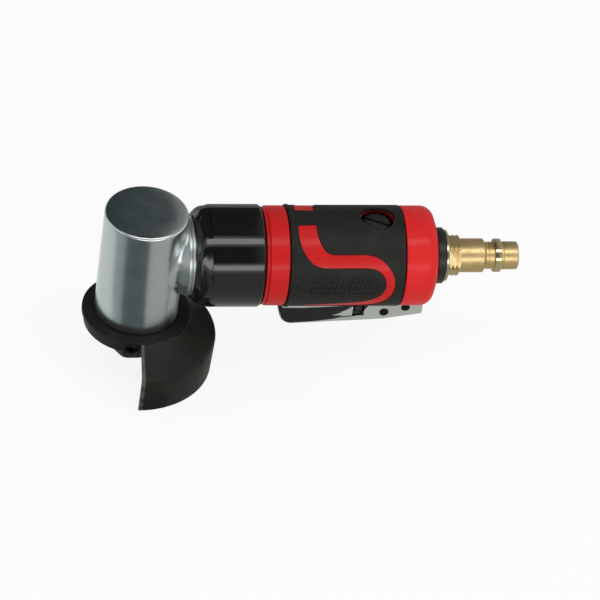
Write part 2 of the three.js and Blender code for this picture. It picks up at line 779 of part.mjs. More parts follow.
// Pinion shaft
function bevelPinion() {
  const gear = bevelGear(pinionTeeth, gearTeeth, pinionHubRadius, pinionSeat, true);
  const end = spigotEnd - gap;
  const shaft = rod('z', shaftRadius, pinionSeat - overrun, end, smallSides);
  const socket = prism('z', hexagon(driveHexFlats + 2 * gap), end - driveHexLength - gap, end + overrun);
  return moved(gear.add(shaft).subtract(socket), { turnY: quarterTurn });
}

const pinionSpacer = () => tube('x', shaftBearingBore, shaftBearingBore + spacerWall,
  spacerStart, spacerStart + spacerLength, smallSides);

function needleBearing() {
  const end = spigotEnd - 2 * gap;
  return tube('x', shaftBearingBore, shaftBearingOutside, needleStart, end, smallSides);
}

// Guard
function guardCollar() {
  const bottom = collarTop - guardCollarHeight;
  const ring = tube('z', neckRadius + gap, guardCollarRadius, bottom, collarTop, bodySides);
  const along = { turnY: quarterTurn, turnZ: radians(guardScrewAngle), at: [0, 0, collarMiddle] };
  const bossTop = guardCollarRadius + guardBossHeight;
  const boss = moved(rod('z', guardBossRadius, neckRadius + 2 * gap, bossTop), along);
  const hole = moved(rod('z', guardScrewRadius + gap, 0, guardCollarRadius + overrun), along);
  return ring.add(boss).subtract(hole);
}

function guardScrew() {
  const tip = neckRadius + 2 * gap;
  const head = guardCollarRadius + guardBossHeight - gap;
  const body = rod('z', guardScrewRadius, tip, head, pinSides);
  const socket = prism('z', hexagon(guardScrewSocket), head - guardScrewSocketDepth, head + overrun);
  const place = { turnY: quarterTurn, turnZ: radians(guardScrewAngle), at: [0, 0, collarMiddle] };
  return moved(body.subtract(socket), place);
}

function guardShell() {
  const hem = guardCollarRadius + gap;
  const cone = radians(guardConeAngle);
  const crown = collarTop + gap - guardCrownSink;
  const bendPlace = guardRimRadius - guardBend;
  const coneDrop = (bendPlace + guardBend * Math.sin(cone) - hem) * Math.tan(cone);
  const bendHeight = crown - coneDrop - guardBend * Math.cos(cone);
  const bend = (radius) => arc([bendPlace, bendHeight], radius, 90 - guardConeAngle, 0, bendSteps)
    .map(([out, height]) => [height, out]);
  const hemUnder = crown - guardSheet / Math.cos(cone) - guardSheet * Math.tan(cone);
  const lip = bendHeight - guardSkirtLength;
  const lipRadius = guardRimRadius - guardLipInset;
  const sheet = revolve('z', [
    [crown, hem], ...bend(guardBend), [lip, lipRadius],
    [lip, lipRadius - guardSheet], ...bend(guardBend - guardSheet).reverse(),
    [hemUnder, hem + guardSheet], [crown - guardHemLength, hem + guardSheet], [crown - guardHemLength, hem],
  ], bodySides);
  const reach = guardRimRadius + overrun;
  return sheet.subtract(block([-reach, 0], [-reach, reach], [lip - overrun, 0]));
}

// Motor housing
function stripeBand(extra) {
  const guide = stripeShares.map(([length, climb, width]) => new THREE.Vector3(
    ringEnd + gripLength * length, ribRadius * quarterTurn * climb, stripeWidth * width,
  ));
  const line = new THREE.CatmullRomCurve3(guide).getPoints(stripeSteps);
  lengthen(line[0], line[1], extra);
  lengthen(line[stripeSteps], line[stripeSteps - 1], extra);
  const edge = (sign) => line.map((point, i) => {
    const before = line[Math.max(i - 1, 0)];
    const after = line[Math.min(i + 1, stripeSteps)];
    const across = new THREE.Vector2(before.y - after.y, after.x - before.x).normalize();
    const reach = sign * (point.z / 2 + extra);
    return [point.x + across.x * reach, point.y + across.y * reach];
  });
  const flat = prism('z', [...edge(1), ...edge(-1).reverse()], gripFloorRadius - overrun, 2 * housingRadius);
  const band = flat.warp(wrapRound);
  return band.add(band.mirror([0, 1, 0]));
}

// Wraps a flat solid round the handle: its y becomes the climb up the side and its z the radius
function wrapRound(place) {
  const climb = place[1] / ribRadius;
  const radius = place[2];
  place[1] = -radius * Math.cos(climb);
  place[2] = radius * Math.sin(climb);
}

// Moves the end of a line away from its neighbour
function lengthen(end, neighbour, extra) {
  const run = new THREE.Vector3(end.x - neighbour.x, end.y - neighbour.y, 0);
  end.addScaledVector(run.normalize(), extra);
}

function motorHousing() {
  const tipAngle = 90 - capRoundAngle;
  const outline = [
    [housingFront, 0], [housingFront, threadRadius], [ringStart, threadRadius],
    [ringStart, housingRadius - housingEdge], [ringStart + housingEdge, housingRadius],
    [ringEnd - housingEdge, housingRadius], [ringEnd, housingRadius - housingEdge],
    [ringEnd, gripFloorRadius], [gripEnd, gripFloorRadius],
    [gripEnd, housingRadius - housingEdge], [gripEnd + housingEdge, housingRadius],
    ...arc([capRoundStart, housingRadius - capRound], capRound, 90, tipAngle, 3),
    [capEnd, capEndRadius], [capEnd, 0],
  ];
  const body = revolve('x', outline, bodySides);
  const ribs = tube('x', gripFloorRadius - gap, ribRadius, ringEnd - gap, gripEnd + gap, bodySides)
    .intersect(stripeBand(0));
  const lug = prism('y', [
    [pivotPlace - lugLength / 2, -lugRootDrop], [pivotPlace - lugLength / 2, -lugStartDrop],
    ...arc([pivotPlace, -pivotDrop], lugEyeRadius, 180, 360, 8),
    [pivotPlace + lugLength / 2, -lugStartDrop], [pivotPlace + lugLength / 2, -lugRootDrop],
  ], -lugWidth / 2, lugWidth / 2);
  return cutAway(body.add(ribs).add(lug), housingCuts());
}

function housingCuts() {
  const motorChamber = rod('x', motorBore, housingFront - overrun, motorBoreEnd, midSides);
  const pivotHole = rod('y', pivotPinRadius + slimGap, -lugWidth, lugWidth, smallSides,
    [pivotPlace, -pivotDrop]);
  const upright = (radius, from, to, sides = smallSides) =>
    rod('z', radius, from, to, sides, [valvePlace, 0]);
  const valveWell = upright(valveBore, -housingRadius - overrun, valveChamberTop);
  const airDrop = upright(airwayRadius, valveChamberTop - airwayOverlap,
    regulatorFloor + airwayOverlap, pinSides);
  const regulatorWell = upright(regulatorBore, regulatorFloor, housingRadius + overrun, midSides);
  const ringGroove = upright(regulatorBore + snapRingWall / 2, regulatorTop + gap,
    regulatorTop + snapRingThickness + 3 * gap, midSides);
  const inletWell = rod('x', inletThreadRadius + gap, inletThreadStart - 2 * gap, capEnd + overrun, midSides);
  const inletAirway = rod('x', airwayRadius, valvePlace, inletThreadStart, pinSides, [0, inletAirwayHeight]);
  const motorAirway = rod('x', airwayRadius, motorBoreEnd - overrun, valvePlace, pinSides, motorAirwayCentre);
  const exhausts = exhaustHoles(motorBoreEnd - overrun, capEnd + overrun);
  const dowel = rod('x', locatingPinRadius + slimGap, motorBoreEnd - overrun,
    locatingPinStart + locatingPinLength + gap, pinSides, [0, -dowelReach]);
  return [motorChamber, pivotHole, valveWell, airDrop, regulatorWell, ringGroove, inletWell, inletAirway,
    motorAirway, ...exhausts, dowel];
}

function exhaustHoles(from, to) {
  const angle = radians(exhaustHoleAngle);
  const [across, up] = [exhaustHoleCircle * Math.cos(angle), exhaustHoleCircle * Math.sin(angle)];
  return [[across, up], [-across, up], [across, -up], [-across, -up]].map((centre) =>
    rod('x', exhaustHoleRadius, from, to, pinSides, centre));
}

function gripSleeve() {
  const [start, end] = [ringEnd + gap, gripEnd - gap];
  const shell = revolve('x', [
    [start, gripFloorRadius + gap], [start, sleeveRadius], [start + sleeveLip, sleeveRadius + sleeveLip],
    [start + sleeveLipLength, sleeveRadius + sleeveLip], [start + sleeveLipLength + sleeveLip, sleeveRadius],
    [end - sleeveLip, sleeveRadius], [end, sleeveRadius - sleeveLip], [end, gripFloorRadius + gap],
  ], bodySides);
  const rimReach = regulatorBore + gap + windowRim;
  const rim = tube('x', gripFloorRadius + gap, sleeveRadius + windowRimHeight, start, end, bodySides)
    .intersect(rod('z', rimReach, 0, 2 * sleeveRadius, midSides, [valvePlace, 0]));
  const window = rod('z', regulatorBore + gap, 0, 2 * sleeveRadius, midSides, [valvePlace, 0]);
  const underside = block([start - overrun, end + overrun], [-sleeveSlot / 2, sleeveSlot / 2],
    [-2 * sleeveRadius, 0]);
  return shell.add(rim).subtract(window).subtract(underside).subtract(stripeBand(gap));
}

// Air motor
function endPlate(webStart, webEnd, pocketStart, pocketEnd) {
  const body = rod('x', plateRadius, Math.min(webStart, pocketStart), Math.max(webEnd, pocketEnd), midSides);
  const pocket = rod('x', shaftBearingOutside + gap, pocketStart - (pocketStart < webStart ? overrun : 0),
    pocketEnd + (pocketStart < webStart ? 0 : overrun), midSides);
  const bore = rod('x', shaftRadius + gap, webStart - overrun, webEnd + overrun, smallSides);
  return body.subtract(pocket).subtract(bore).subtract(dowelHole());
}

const dowelHole = () => rod('x', locatingPinRadius + slimGap, locatingPinStart - gap,
  locatingPinStart + locatingPinLength + gap, pinSides, [0, -dowelReach]);

const frontEndPlate = () => endPlate(housingFront + pocketDepth, frontPlateEnd, housingFront,
  housingFront + pocketDepth);

function rearEndPlate() {
  const plate = endPlate(rearPlateStart, rearPlateStart + plateWeb, rearPlateStart + plateWeb, rearPlateEnd);
  return cutAway(plate, [motorPassage(), ...exhaustHoles(rearPlateStart - overrun, rearPlateEnd + overrun)]);
}

// The air's way through the rear plate into the liner's wall
const motorPassage = () => rod('x', airwayRadius / 2, linerEnd - linerPassageLength, rearPlateEnd + overrun,
  pinSides, motorAirwayCentre);

function cylinderLiner() {
  const body = rod('x', plateRadius, linerStart, linerEnd, midSides);
  const bore = rod('x', linerBore, linerStart - overrun, linerEnd + overrun, midSides, [0, linerOffset]);
  const port = rod('z', airwayRadius / 2, -plateRadius + airwayRadius, linerOffset, pinSides,
    [linerEnd - linerPortPlace, motorAirwayShift]);
  return cutAway(body, [bore, dowelHole(), motorPassage(), port]);
}

const locatingPin = () => rod('x', locatingPinRadius, locatingPinStart, locatingPinStart + locatingPinLength,
  pinSides, [0, -dowelReach]);

function rotor() {
  const noseStart = spigotEnd - gap - driveHexLength;
  const rearEnd = rearPlateEnd - gap;
  const body = revolve('x', [
    [spigotEnd, 0], [spigotEnd, shaftRadius], [rotorStart, shaftRadius], [rotorStart, rotorRadius],
    [rotorEnd, rotorRadius], [rotorEnd, shaftRadius], [rearEnd, shaftRadius], [rearEnd, 0],
  ], midSides);
  const nose = prism('x', hexagon(driveHexFlats, quarterTurn), noseStart, spigotEnd + gap);
  const slots = [];
  for (let i = 0; i < vaneCount; i += 1) {
    const half = vaneThickness / 2 + slimGap;
    const slot = block([rotorStart - overrun / 2, rotorEnd + overrun / 2], [-half, half],
      [rotorSlotFloor, rotorRadius + overrun]);
    slots.push(moved(slot, { turnX: i * turn / vaneCount }));
  }
  return cutAway(body.add(nose), slots);
}

function vane(i) {
  const blade = block([rotorStart, rotorEnd], [-vaneThickness / 2, vaneThickness / 2],
    [rotorSlotFloor + gap, rotorRadius - slimGap]);
  return moved(blade, { turnX: i * turn / vaneCount });
}

// Throttle lever, latch and their pins
function throttleLever() {
  const half = leverWidth / 2;
  const outside = prism('y', [
    [leverFront, -leverWallDrop], ...arc(leverRoundCentre, leverFrontRound, 180, 270, 5), ...leverUnderside,
    [leverRear, -leverEarDrop], [leverEarStart, -leverEarDrop],
    [leverEarStart - leverEarRamp, -leverWallDrop],
  ], -half, half);
  const channel = prism('y', [
    [leverFront + leverSheet, 0], ...arc(leverRoundCentre, leverFrontRound - leverSheet, 180, 270, 5),
    ...leverUnderside.map(([x, z]) => [x, z + leverSheet]), [leverRear + overrun, leverSheet - leverRearDrop],
    [leverRear + overrun, 0],
  ], leverSheet - half, half - leverSheet);
  const swing = (latchPinPlace - latchBlockStart) * Math.sin(radians(latchTurn)) + gap;
  const notch = block([latchNotchStart, latchNotchStart + latchNotchLength], [-leverWidth, leverWidth],
    [-latchBlockDrop - latchBlockHeight - swing, 0]);
  const tailSlot = block([latchTailStart - gap, latchTailStart - gap + latchSlotLength],
    [-latchTailWidth / 2 - gap, latchTailWidth / 2 + gap], [-leverFrontDrop, 2 * leverSheet - leverKneeDrop]);
  const pinHole = (radius, x, drop) =>
    rod('y', radius + slimGap, -leverWidth, leverWidth, smallSides, [x, -drop]);
  return cutAway(outside, [channel, notch, tailSlot, pinHole(pivotPinRadius, pivotPlace, pivotDrop),
    pinHole(latchPinHeadRadius, latchPinPlace, latchPinDrop), pressedHousing()]);
}

// The handle as the fully squeezed lever meets it: what this cuts away keeps the lever clear of the grip
function pressedHousing() {
  const handle = revolve('x', [
    [0, 0], [0, gripFloorRadius + gap], [gripEnd - gap, gripFloorRadius + gap],
    [gripEnd - gap, housingRadius + gap], [leverRear + overrun, housingRadius + gap],
    [leverRear + overrun, 0],
  ], bodySides);
  const [x, z] = [pivotPlace, -pivotDrop];
  return moved(moved(handle, { at: [-x, 0, -z] }), { turnY: -radians(leverStroke), at: [x, 0, z] });
}

const pivotPin = () => rod('y', pivotPinRadius, -leverWidth / 2, leverWidth / 2, smallSides,
  [pivotPlace, -pivotDrop]);

function latchPin() {
  const [half, inner] = [leverWidth / 2, leverWidth / 2 - leverSheet + slimGap];
  const shaft = rod('y', latchPinRadius, -half, half, pinSides, [latchPinPlace, -latchPinDrop]);
  const head = (side) => rod('y', latchPinHeadRadius, Math.min(side * half, side * inner),
    Math.max(side * half, side * inner), smallSides, [latchPinPlace, -latchPinDrop]);
  return joined([shaft, head(1), head(-1)]);
}

function safetyLatch() {
  const blockEnd = latchBlockStart + latchBlockLength;
  const blockBottom = -latchBlockDrop - latchBlockHeight;
  const wing = leverWidth / 2 - slimGap;
  const stop = block([latchBlockStart, blockEnd], [-wing, wing], [blockBottom, -latchBlockDrop]);
  const cheek = (side) => {
    const [near, far] = [side * latchArmReach, side * (latchArmReach - latchArmWidth)].sort((a, b) => a - b);
    const arm = prism('y', [
      [blockEnd - gap, blockBottom], [latchPinPlace, -latchPinDrop - latchHubRadius],
      [latchPinPlace, -latchPinDrop + latchHubRadius], [blockEnd - gap, blockBottom + latchArmHeight],
    ], near, far);
    return arm.add(rod('y', latchHubRadius, near, far, smallSides, [latchPinPlace, -latchPinDrop]));
  };
  const tailEnd = latchTailStart + latchSheet;
  const bridge = block([latchTailStart, tailEnd], [gap - latchArmReach, latchArmReach - gap],
    [-latchPinDrop - latchHubRadius / 2, latchHubRadius / 2 - latchPinDrop]);
  const tail = block([latchTailStart, tailEnd], [-latchTailWidth / 2, latchTailWidth / 2],
    [-latchTailDrop, -latchPinDrop]);
  const foot = block([latchFootStart, latchFootStart + latchFootLength],
    [-latchTailWidth / 2, latchTailWidth / 2], [-latchTailDrop, latchFootThickness - latchTailDrop]);
  const pinHole = rod('y', latchPinRadius + slimGap, -leverWidth, leverWidth, smallSides,
    [latchPinPlace, -latchPinDrop]);
  return joined([stop, cheek(1), cheek(-1), bridge, tail, foot]).subtract(pinHole);
}

function latchSpring() {
  const length = latchSpringPitch * latchSpringTurns;
  const winding = coil({ radius: latchSpringRadius, wire: latchSpringWire, turns: latchSpringTurns, length });
  return moved(winding, { turnX: -quarterTurn, at: [latchPinPlace, gap, -latchPinDrop] });
}

// Throttle valve
function leverFloorHeight(x) {
  const [front, knee] = [leverRoundCentre[0], leverKneePlace];
  const share = (x - front) / (knee - front);
  return leverSheet - leverFrontDrop + (leverFrontDrop - leverKneeDrop) * share;
}

function valveBush() {
  const ring = rod('z', valveBore - gap, -gripFloorRadius, -valveBushTopDrop, smallSides, [valvePlace, 0]);
  const bore = rod('z', valveStemRadius + slimGap, -housingRadius, 0, smallSides, [valvePlace, 0]);
  return ring.subtract(bore);
}

const ringAt = (inner, outer, from, to) => rod('z', outer, from, to, smallSides, [valvePlace, 0])
  .subtract(rod('z', inner, from - overrun, to + overrun, smallSides, [valvePlace, 0]));

const valveSeat = () => ringAt(valveSeatBore, valveBore - gap, -valveSeatDrop,
  valveSeatThickness - valveSeatDrop);

const valveSeal = () => ringAt(valveStemRadius + slimGap, valveHeadRadius, sealBase,
  sealBase + valveSealThickness);

function valveStem() {
  const tip = leverFloorHeight(valvePlace) + gap;
  const pin = rod('z', valveStemRadius, tip, valveHeadBase + slimGap, smallSides, [valvePlace, 0]);
  const headTop = valveHeadBase + valveHeadThickness;
  const head = rod('z', valveHeadRadius, valveHeadBase, headTop, smallSides, [valvePlace, 0]);
  return pin.add(head);
}

function valveSpring() {
  const base = valveHeadBase + valveHeadThickness + gap + valveSpringWire;
  const top = valveChamberTop - gap - valveSpringWire;
  const size = { radius: valveSpringRadius, wire: valveSpringWire, turns: valveSpringTurns };
  const winding = coil({ ...size, length: top - base });
  return moved(winding, { at: [valvePlace, 0, base] });
}

// Regulator
function regulatorDial() {
  const radius = regulatorBore - gap;
  const bottom = regulatorFloor + gap;
  const grooveHalf = regulatorSealWire + slimGap;
  const grooveFloor = regulatorSealPitch - grooveHalf;
  const body = revolve('z', [
    [bottom, 0], [bottom, radius], [regulatorSealHeight - grooveHalf, radius],
    [regulatorSealHeight - grooveHalf, grooveFloor], [regulatorSealHeight + grooveHalf, grooveFloor],
    [regulatorSealHeight + grooveHalf, radius], [regulatorTop - gap, radius], [regulatorTop, radius - gap],
    [regulatorTop, regulatorBossRadius], [regulatorBossTop, regulatorBossRadius], [regulatorBossTop, 0],
  ], midSides);
  const slot = block([-regulatorSlotWidth / 2, regulatorSlotWidth / 2], [-regulatorBore, regulatorBore],
    [regulatorBossTop - regulatorSlotDepth, regulatorBossTop + overrun]);
  const cup = rod('z', regulatorCupRadius, bottom - overrun, bottom + regulatorCupDepth, smallSides);
  const port = rod('x', regulatorPort, 0, 2 * regulatorBore, pinSides, [0, inletAirwayHeight]);
  const turnedSlot = moved(slot, { turnZ: radians(regulatorSlotTurn) });
  return moved(cutAway(body, [turnedSlot, cup, port]), { at: [valvePlace, 0, 0] });
}

function regulatorSeal() {
  const section = circle(regulatorSealWire, regulatorSealSides, [regulatorSealHeight, regulatorSealPitch]);
  return moved(revolve('z', section, midSides), { at: [valvePlace, 0, 0] });
}

function regulatorSnapRing() {
  const outer = regulatorBore + snapRingWall / 2 - gap;
  const bottom = regulatorTop + 2 * gap;
  const ring = tube('z', outer - snapRingWall, outer, bottom, bottom + snapRingThickness - gap, midSides);
  const opening = wedge('z', snapRingOpening, 2 * regulatorBore, bottom - overrun, bottom + 2 * overrun, 180);
  return moved(ring.subtract(opening), { at: [valvePlace, 0, 0] });
}

// Air inlet
function inletBushing() {
  return revolve('x', [
    [inletThreadStart, inletBore], [inletThreadStart, inletThreadRadius],
    [inletFlangeStart, inletThreadRadius], [inletFlangeStart, inletFlangeRadius],
    [inletFlangeEnd - slimGap, inletFlangeRadius],
    [inletFlangeEnd, inletFlangeRadius - slimGap], [inletFlangeEnd, inletBore],
  ], midSides);
}

function inletScreen() {
  const start = inletThreadStart + gap;
  const disc = rod('x', inletBore - gap, start, start + screenThickness, smallSides);
  const holes = [[0, 0], ...circle(screenHoleCircle, screenHoles)].map((centre) =>
    rod('x', screenHoleRadius, start - overrun, start + overrun, pinSides, centre));
  return cutAway(disc, holes);
}

function exhaustRing() {
  const ring = revolve('x', [
    [exhaustRingStart, exhaustRingBore], [exhaustRingStart, exhaustRingRadius],
    [exhaustRingEnd - gap, exhaustRingRadius], [exhaustRingEnd, exhaustRingRadius - gap],
    [exhaustRingEnd, exhaustRingBore],
  ], 2 * exhaustSlots);
  const slots = [];
  for (let i = 0; i < exhaustSlots; i += 1) {
    const half = exhaustSlotWidth / 2;
    const slot = block([exhaustRingStart - overrun, exhaustRingStart + exhaustSlotDepth], [-half, half],
      [0, 2 * exhaustRingRadius]);
    slots.push(moved(slot, { turnX: i * turn / exhaustSlots }));
  }
  return cutAway(ring, slots);
}

function airPlug() {
  const threadStart = plugHexStart - plugThreadLength;
  const bodyStart = plugHexStart + plugHexLength;
  const bodyEnd = bodyStart + plugBodyLength;
  const grooveStart = bodyEnd + plugShoulder;
  const collarStart = grooveStart + plugGrooveLength;
  const noseStart = collarStart + plugCollarLength;
  const noseEnd = noseStart + plugNoseLength;
  const turned = revolve('x', [
    [threadStart, 0], [threadStart, plugThreadRadius], [plugHexStart, plugThreadRadius],
    [plugHexStart, plugBodyRadius], [bodyEnd, plugBodyRadius], [grooveStart, plugGrooveRadius],
    [collarStart, plugGrooveRadius], [collarStart, plugCollarRadius], [noseStart, plugCollarRadius],
    [noseStart, plugNoseRadius], [noseEnd - plugNoseChamfer, plugNoseRadius],
    [noseEnd - plugNoseChamfer / 3, plugNoseRadius - plugNoseChamfer / 3],
    [noseEnd, plugNoseRadius - plugNoseChamfer / 2], [noseEnd, 0],
  ], midSides);
  const hex = prism('x', hexagon(plugHexFlats), plugHexStart, bodyStart);
  const corners = revolve('x', hexCornerOutline(bodyStart), midSides);
  const bore = rod('x', plugBore, threadStart - overrun, noseEnd + overrun, midSides);
  return turned.add(hex.intersect(corners)).subtract(bore);
}

// Rounds the hexagon's corners and turns two notches in them
function hexCornerOutline(bodyStart) {
  const chamfer = plugHexCorner - plugHexFlats / 2;
  const notches = [1, 2].flatMap((i) => {
    const middle = plugHexStart + plugHexLength * i / 3;
    return [[middle - plugNotchWidth / 2, plugHexCorner], [middle, plugHexCorner - plugNotchDepth],
      [middle + plugNotchWidth / 2, plugHexCorner]];
  });
  const eased = plugHexCorner - chamfer / 2;
  return [[plugHexStart, 0], [plugHexStart, eased], [plugHexStart + chamfer / 2, plugHexCorner],
    ...notches, [bodyStart - chamfer / 2, plugHexCorner], [bodyStart, eased], [bodyStart, 0]];
}

// Assembly
const tool = new THREE.Group();
const handle = new THREE.Group();
handle.position.z = axisHeight;
tool.add(handle);

function add(name, body, finish, place = {}) {
  const geometry = toGeometry(body.simplify(flatness));
  geometry.computeVertexNormals();
  const mesh = new THREE.Mesh(geometry, finish.clone());
  mesh.name = name;
  mesh.position.set(place.x ?? 0, place.y ?? 0, place.z ?? 0);
  mesh.rotation.y = place.turnY ?? 0;
  handle.add(mesh);
}

function addBearing(name, bearing, place) {
  add(`${name}_outer_race`, bearing.outer, finishes.steel, place);
  add(`${name}_inner_race`, bearing.inner, finishes.steel, place);
  add(`${name}_caged_balls`, bearing.cage, finishes.bronze, place);
}

const shaftBearing = ballBearing(shaftBearingBore, shaftBearingOutside, shaftBearingWidth, shaftBearingBalls);
const alongHandle = (x) => ({ x, turnY: quarterTurn });

add('head_housing', headHousing(), finishes.polished);
add('head_lock_ring', lockRing(), finishes.darkSteel);
add('clamp_nut', clampNut(), finishes.blackCase);
add('spindle', spindle(), finishes.steel);
add('gear_key', gearKey(), finishes.steel);
add('driven_bevel_gear', drivenGear(), finishes.steel);
add('upper_spindle_bush', spindleBush(), finishes.bronze);
addBearing('spindle_bearing',
  ballBearing(spindleBearingBore, spindleBearingOutside, spindleBearingWidth, spindleBearingBalls),
  { z: spindleBearingBottom });
add('bearing_retainer', bearingRetainer(), finishes.darkSteel);
add('dust_seal', dustSeal(), finishes.rubber);
add('inner_flange', innerFlange(), finishes.darkSteel);
add('disc_nut', discNut(), finishes.darkSteel);
add('bevel_pinion', bevelPinion(), finishes.steel);
addBearing('pinion_bearing', shaftBearing, alongHandle(frontBearingPlace));
add('pinion_spacer', pinionSpacer(), finishes.steel);
add('pinion_needle_bearing', needleBearing(), finishes.steel);

add('guard_collar', guardCollar(), finishes.guardBlack);
add('guard_shell', guardShell(), finishes.guardBlack);
add('guard_clamp_screw', guardScrew(), finishes.darkSteel);

add('motor_housing', motorHousing(), finishes.redPaint);
add('grip_sleeve', gripSleeve(), finishes.rubber);
add('front_end_plate', frontEndPlate(), finishes.steel);
add('cylinder_liner', cylinderLiner(), finishes.steel);
add('rear_end_plate', rearEndPlate(), finishes.steel);
add('locating_pin', locatingPin(), finishes.steel);
add('rotor', rotor(), finishes.steel);
for (let i = 0; i < vaneCount; i += 1) add(`vane_${i + 1}`, vane(i), finishes.fibre);
addBearing('rotor_front_bearing', shaftBearing, alongHandle(housingFront + gap));
addBearing('rotor_rear_bearing', shaftBearing, alongHandle(rearPlateStart + plateWeb + gap));

add('throttle_lever', throttleLever(), finishes.chrome);
add('lever_pivot_pin', pivotPin(), finishes.darkSteel);
add('safety_latch', safetyLatch(), finishes.darkSteel);
add('latch_pin', latchPin(), finishes.darkSteel);
add('latch_spring', latchSpring(), finishes.steel);
add('valve_bush', valveBush(), finishes.brass);
add('valve_seat', valveSeat(), finishes.brass);
add('valve_stem', valveStem(), finishes.brass);
add('valve_seal', valveSeal(), finishes.rubber);
add('valve_spring', valveSpring(), finishes.steel);
add('regulator_dial', regulatorDial(), finishes.blackPlastic);
add('regulator_snap_ring', regulatorSnapRing(), finishes.darkSteel);
add('regulator_seal', regulatorSeal(), finishes.rubber);

add('exhaust_ring', exhaustRing(), finishes.blackPlastic);
add('inlet_bushing', inletBushing(), finishes.steel);
add('inlet_screen', inletScreen(), finishes.steel);
add('air_plug', airPlug(), finishes.brass);

export default tool;
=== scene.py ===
"""The looks of a mini angle grinder driven by compressed air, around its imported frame.

Pieces are modelled in millimetres, with z = 0 on the handle's axis. place() turns them into metres.
"""
import json
from math import atan2, ceil, cos, degrees, pi, radians, sin, sqrt, tan

import bmesh
import bpy
from mathutils import Matrix, Vector
from mathutils.geometry import tessellate_polygon

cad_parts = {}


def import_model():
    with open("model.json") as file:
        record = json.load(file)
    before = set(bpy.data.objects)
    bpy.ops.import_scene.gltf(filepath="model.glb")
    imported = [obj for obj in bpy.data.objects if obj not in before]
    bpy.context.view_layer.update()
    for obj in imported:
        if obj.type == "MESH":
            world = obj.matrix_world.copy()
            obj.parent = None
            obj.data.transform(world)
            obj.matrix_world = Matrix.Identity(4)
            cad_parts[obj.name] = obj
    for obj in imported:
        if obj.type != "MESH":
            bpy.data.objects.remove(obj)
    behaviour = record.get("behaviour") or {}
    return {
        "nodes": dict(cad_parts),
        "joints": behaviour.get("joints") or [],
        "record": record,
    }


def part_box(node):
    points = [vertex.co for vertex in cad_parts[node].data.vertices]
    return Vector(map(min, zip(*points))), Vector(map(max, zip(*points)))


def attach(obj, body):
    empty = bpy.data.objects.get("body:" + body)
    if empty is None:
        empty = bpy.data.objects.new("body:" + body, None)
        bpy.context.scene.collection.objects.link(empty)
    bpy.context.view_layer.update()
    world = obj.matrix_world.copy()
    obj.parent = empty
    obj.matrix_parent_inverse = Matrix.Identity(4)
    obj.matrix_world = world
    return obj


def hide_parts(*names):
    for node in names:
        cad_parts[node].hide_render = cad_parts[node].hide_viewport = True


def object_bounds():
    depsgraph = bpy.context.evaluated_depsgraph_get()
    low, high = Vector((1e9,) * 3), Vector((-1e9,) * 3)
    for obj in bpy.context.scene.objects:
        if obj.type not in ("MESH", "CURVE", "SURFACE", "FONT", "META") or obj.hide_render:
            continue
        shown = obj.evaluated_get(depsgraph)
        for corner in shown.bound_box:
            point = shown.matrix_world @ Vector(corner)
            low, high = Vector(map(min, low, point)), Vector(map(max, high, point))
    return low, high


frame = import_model()
cad_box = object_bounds()

MM = 0.001
FULL_TURN = 2 * pi
TINY = 1e-6
JOINTS = {joint["name"]: joint for joint in frame["joints"]}
AXIS_HEIGHT = JOINTS["rotor_spin"]["pos_m"][2] / MM


def extent(node):
    """Lowest and highest corner of a CAD node in millimetres, with z = 0 on the handle's axis."""
    low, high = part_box(node)
    lift = Vector((0, 0, AXIS_HEIGHT))
    return low / MM - lift, high / MM - lift


def joint_place(name):
    """A joint's place in millimetres on the handle's middle plane, with z = 0 on the handle's axis."""
    x, _, z = JOINTS[name]["pos_m"]
    return Vector((x / MM, 0, z / MM - AXIS_HEIGHT))


def both(half):
    return -half, half


# Facets and edges
SIDES = 128
FINE_SIDES = 192
MIDDLE_SIDES = 96
BORE_SIDES = 64
SMALL_SIDES = 48
SHARP_ANGLE = radians(32)
EASE_ANGLE = radians(40)
STRAIGHT = radians(172)
EASE_SHARE = 0.45
GAP = 0.3
SLIM_GAP = 0.2
OVERRUN = 2

# Angle head
head_low, head_high = extent("head_housing")
HEAD_RADIUS = -head_low.x
HEAD_TOP = head_high.z
NECK_BOTTOM = head_low.z
SPIGOT_END = head_high.x
HEAD_EDGE = 1.2
HEAD_CROWN_START = 7.5
HEAD_CROWN_SAG = 0.35
HEAD_DROP = -NECK_BOTTOM - 5
NECK_RADIUS = 13.6
THROAT_RADIUS = 11.8
THROAT_END = 11.5
STUB_RADIUS = 14.3
STUB_LEAD = 0.5
STUB_START = 15.2
STUB_END = 17.2
STUB_GROOVE = 0.45
SPIGOT_RADIUS = 13.2
BLEND_REACH = 1.6
BLEND_STEPS = 12
BLEND_SINK = 0.02
BLEND_ROUNDS = 40
BLEND_SHARE = 0.8
BLEND_SLOPE = 0.3
THROAT_STEPS = 5
ROW_STEP = 0.7
ROW_ENDS = (1, 3)
CHAMBER_RADIUS = 10.6
CHAMBER_TOP = 9
BEARING_SEAT = -17.3
BEARING_HOUSE_RADIUS = 11.3
BUSH_HOUSE_RADIUS = 5.1
BUSH_HOUSE_END = 15.6
PINION_HOUSE_RADIUS = 7.3
PINION_SEAT = 11.1
SHAFT_HOUSE_RADIUS = 8.3

# Clamp nut
nut_low, nut_high = extent("clamp_nut")
NUT_FRONT = nut_low.x
NUT_REAR = nut_high.x
NUT_RADIUS = nut_high.y
NUT_FRONT_RADIUS = 15.4
NUT_SHOULDER_RADIUS = 17.95
NUT_TAPER = 6.2
NUT_CHAMFER = 1
NUT_LIP = 4.4
NUT_THREAD_RADIUS = 15.9
NUT_FLATS = 6
NUT_FLAT_REACH = 16.75
NUT_FLAT_LENGTH = 5.4
NUT_FLAT_PHASE = 22.7

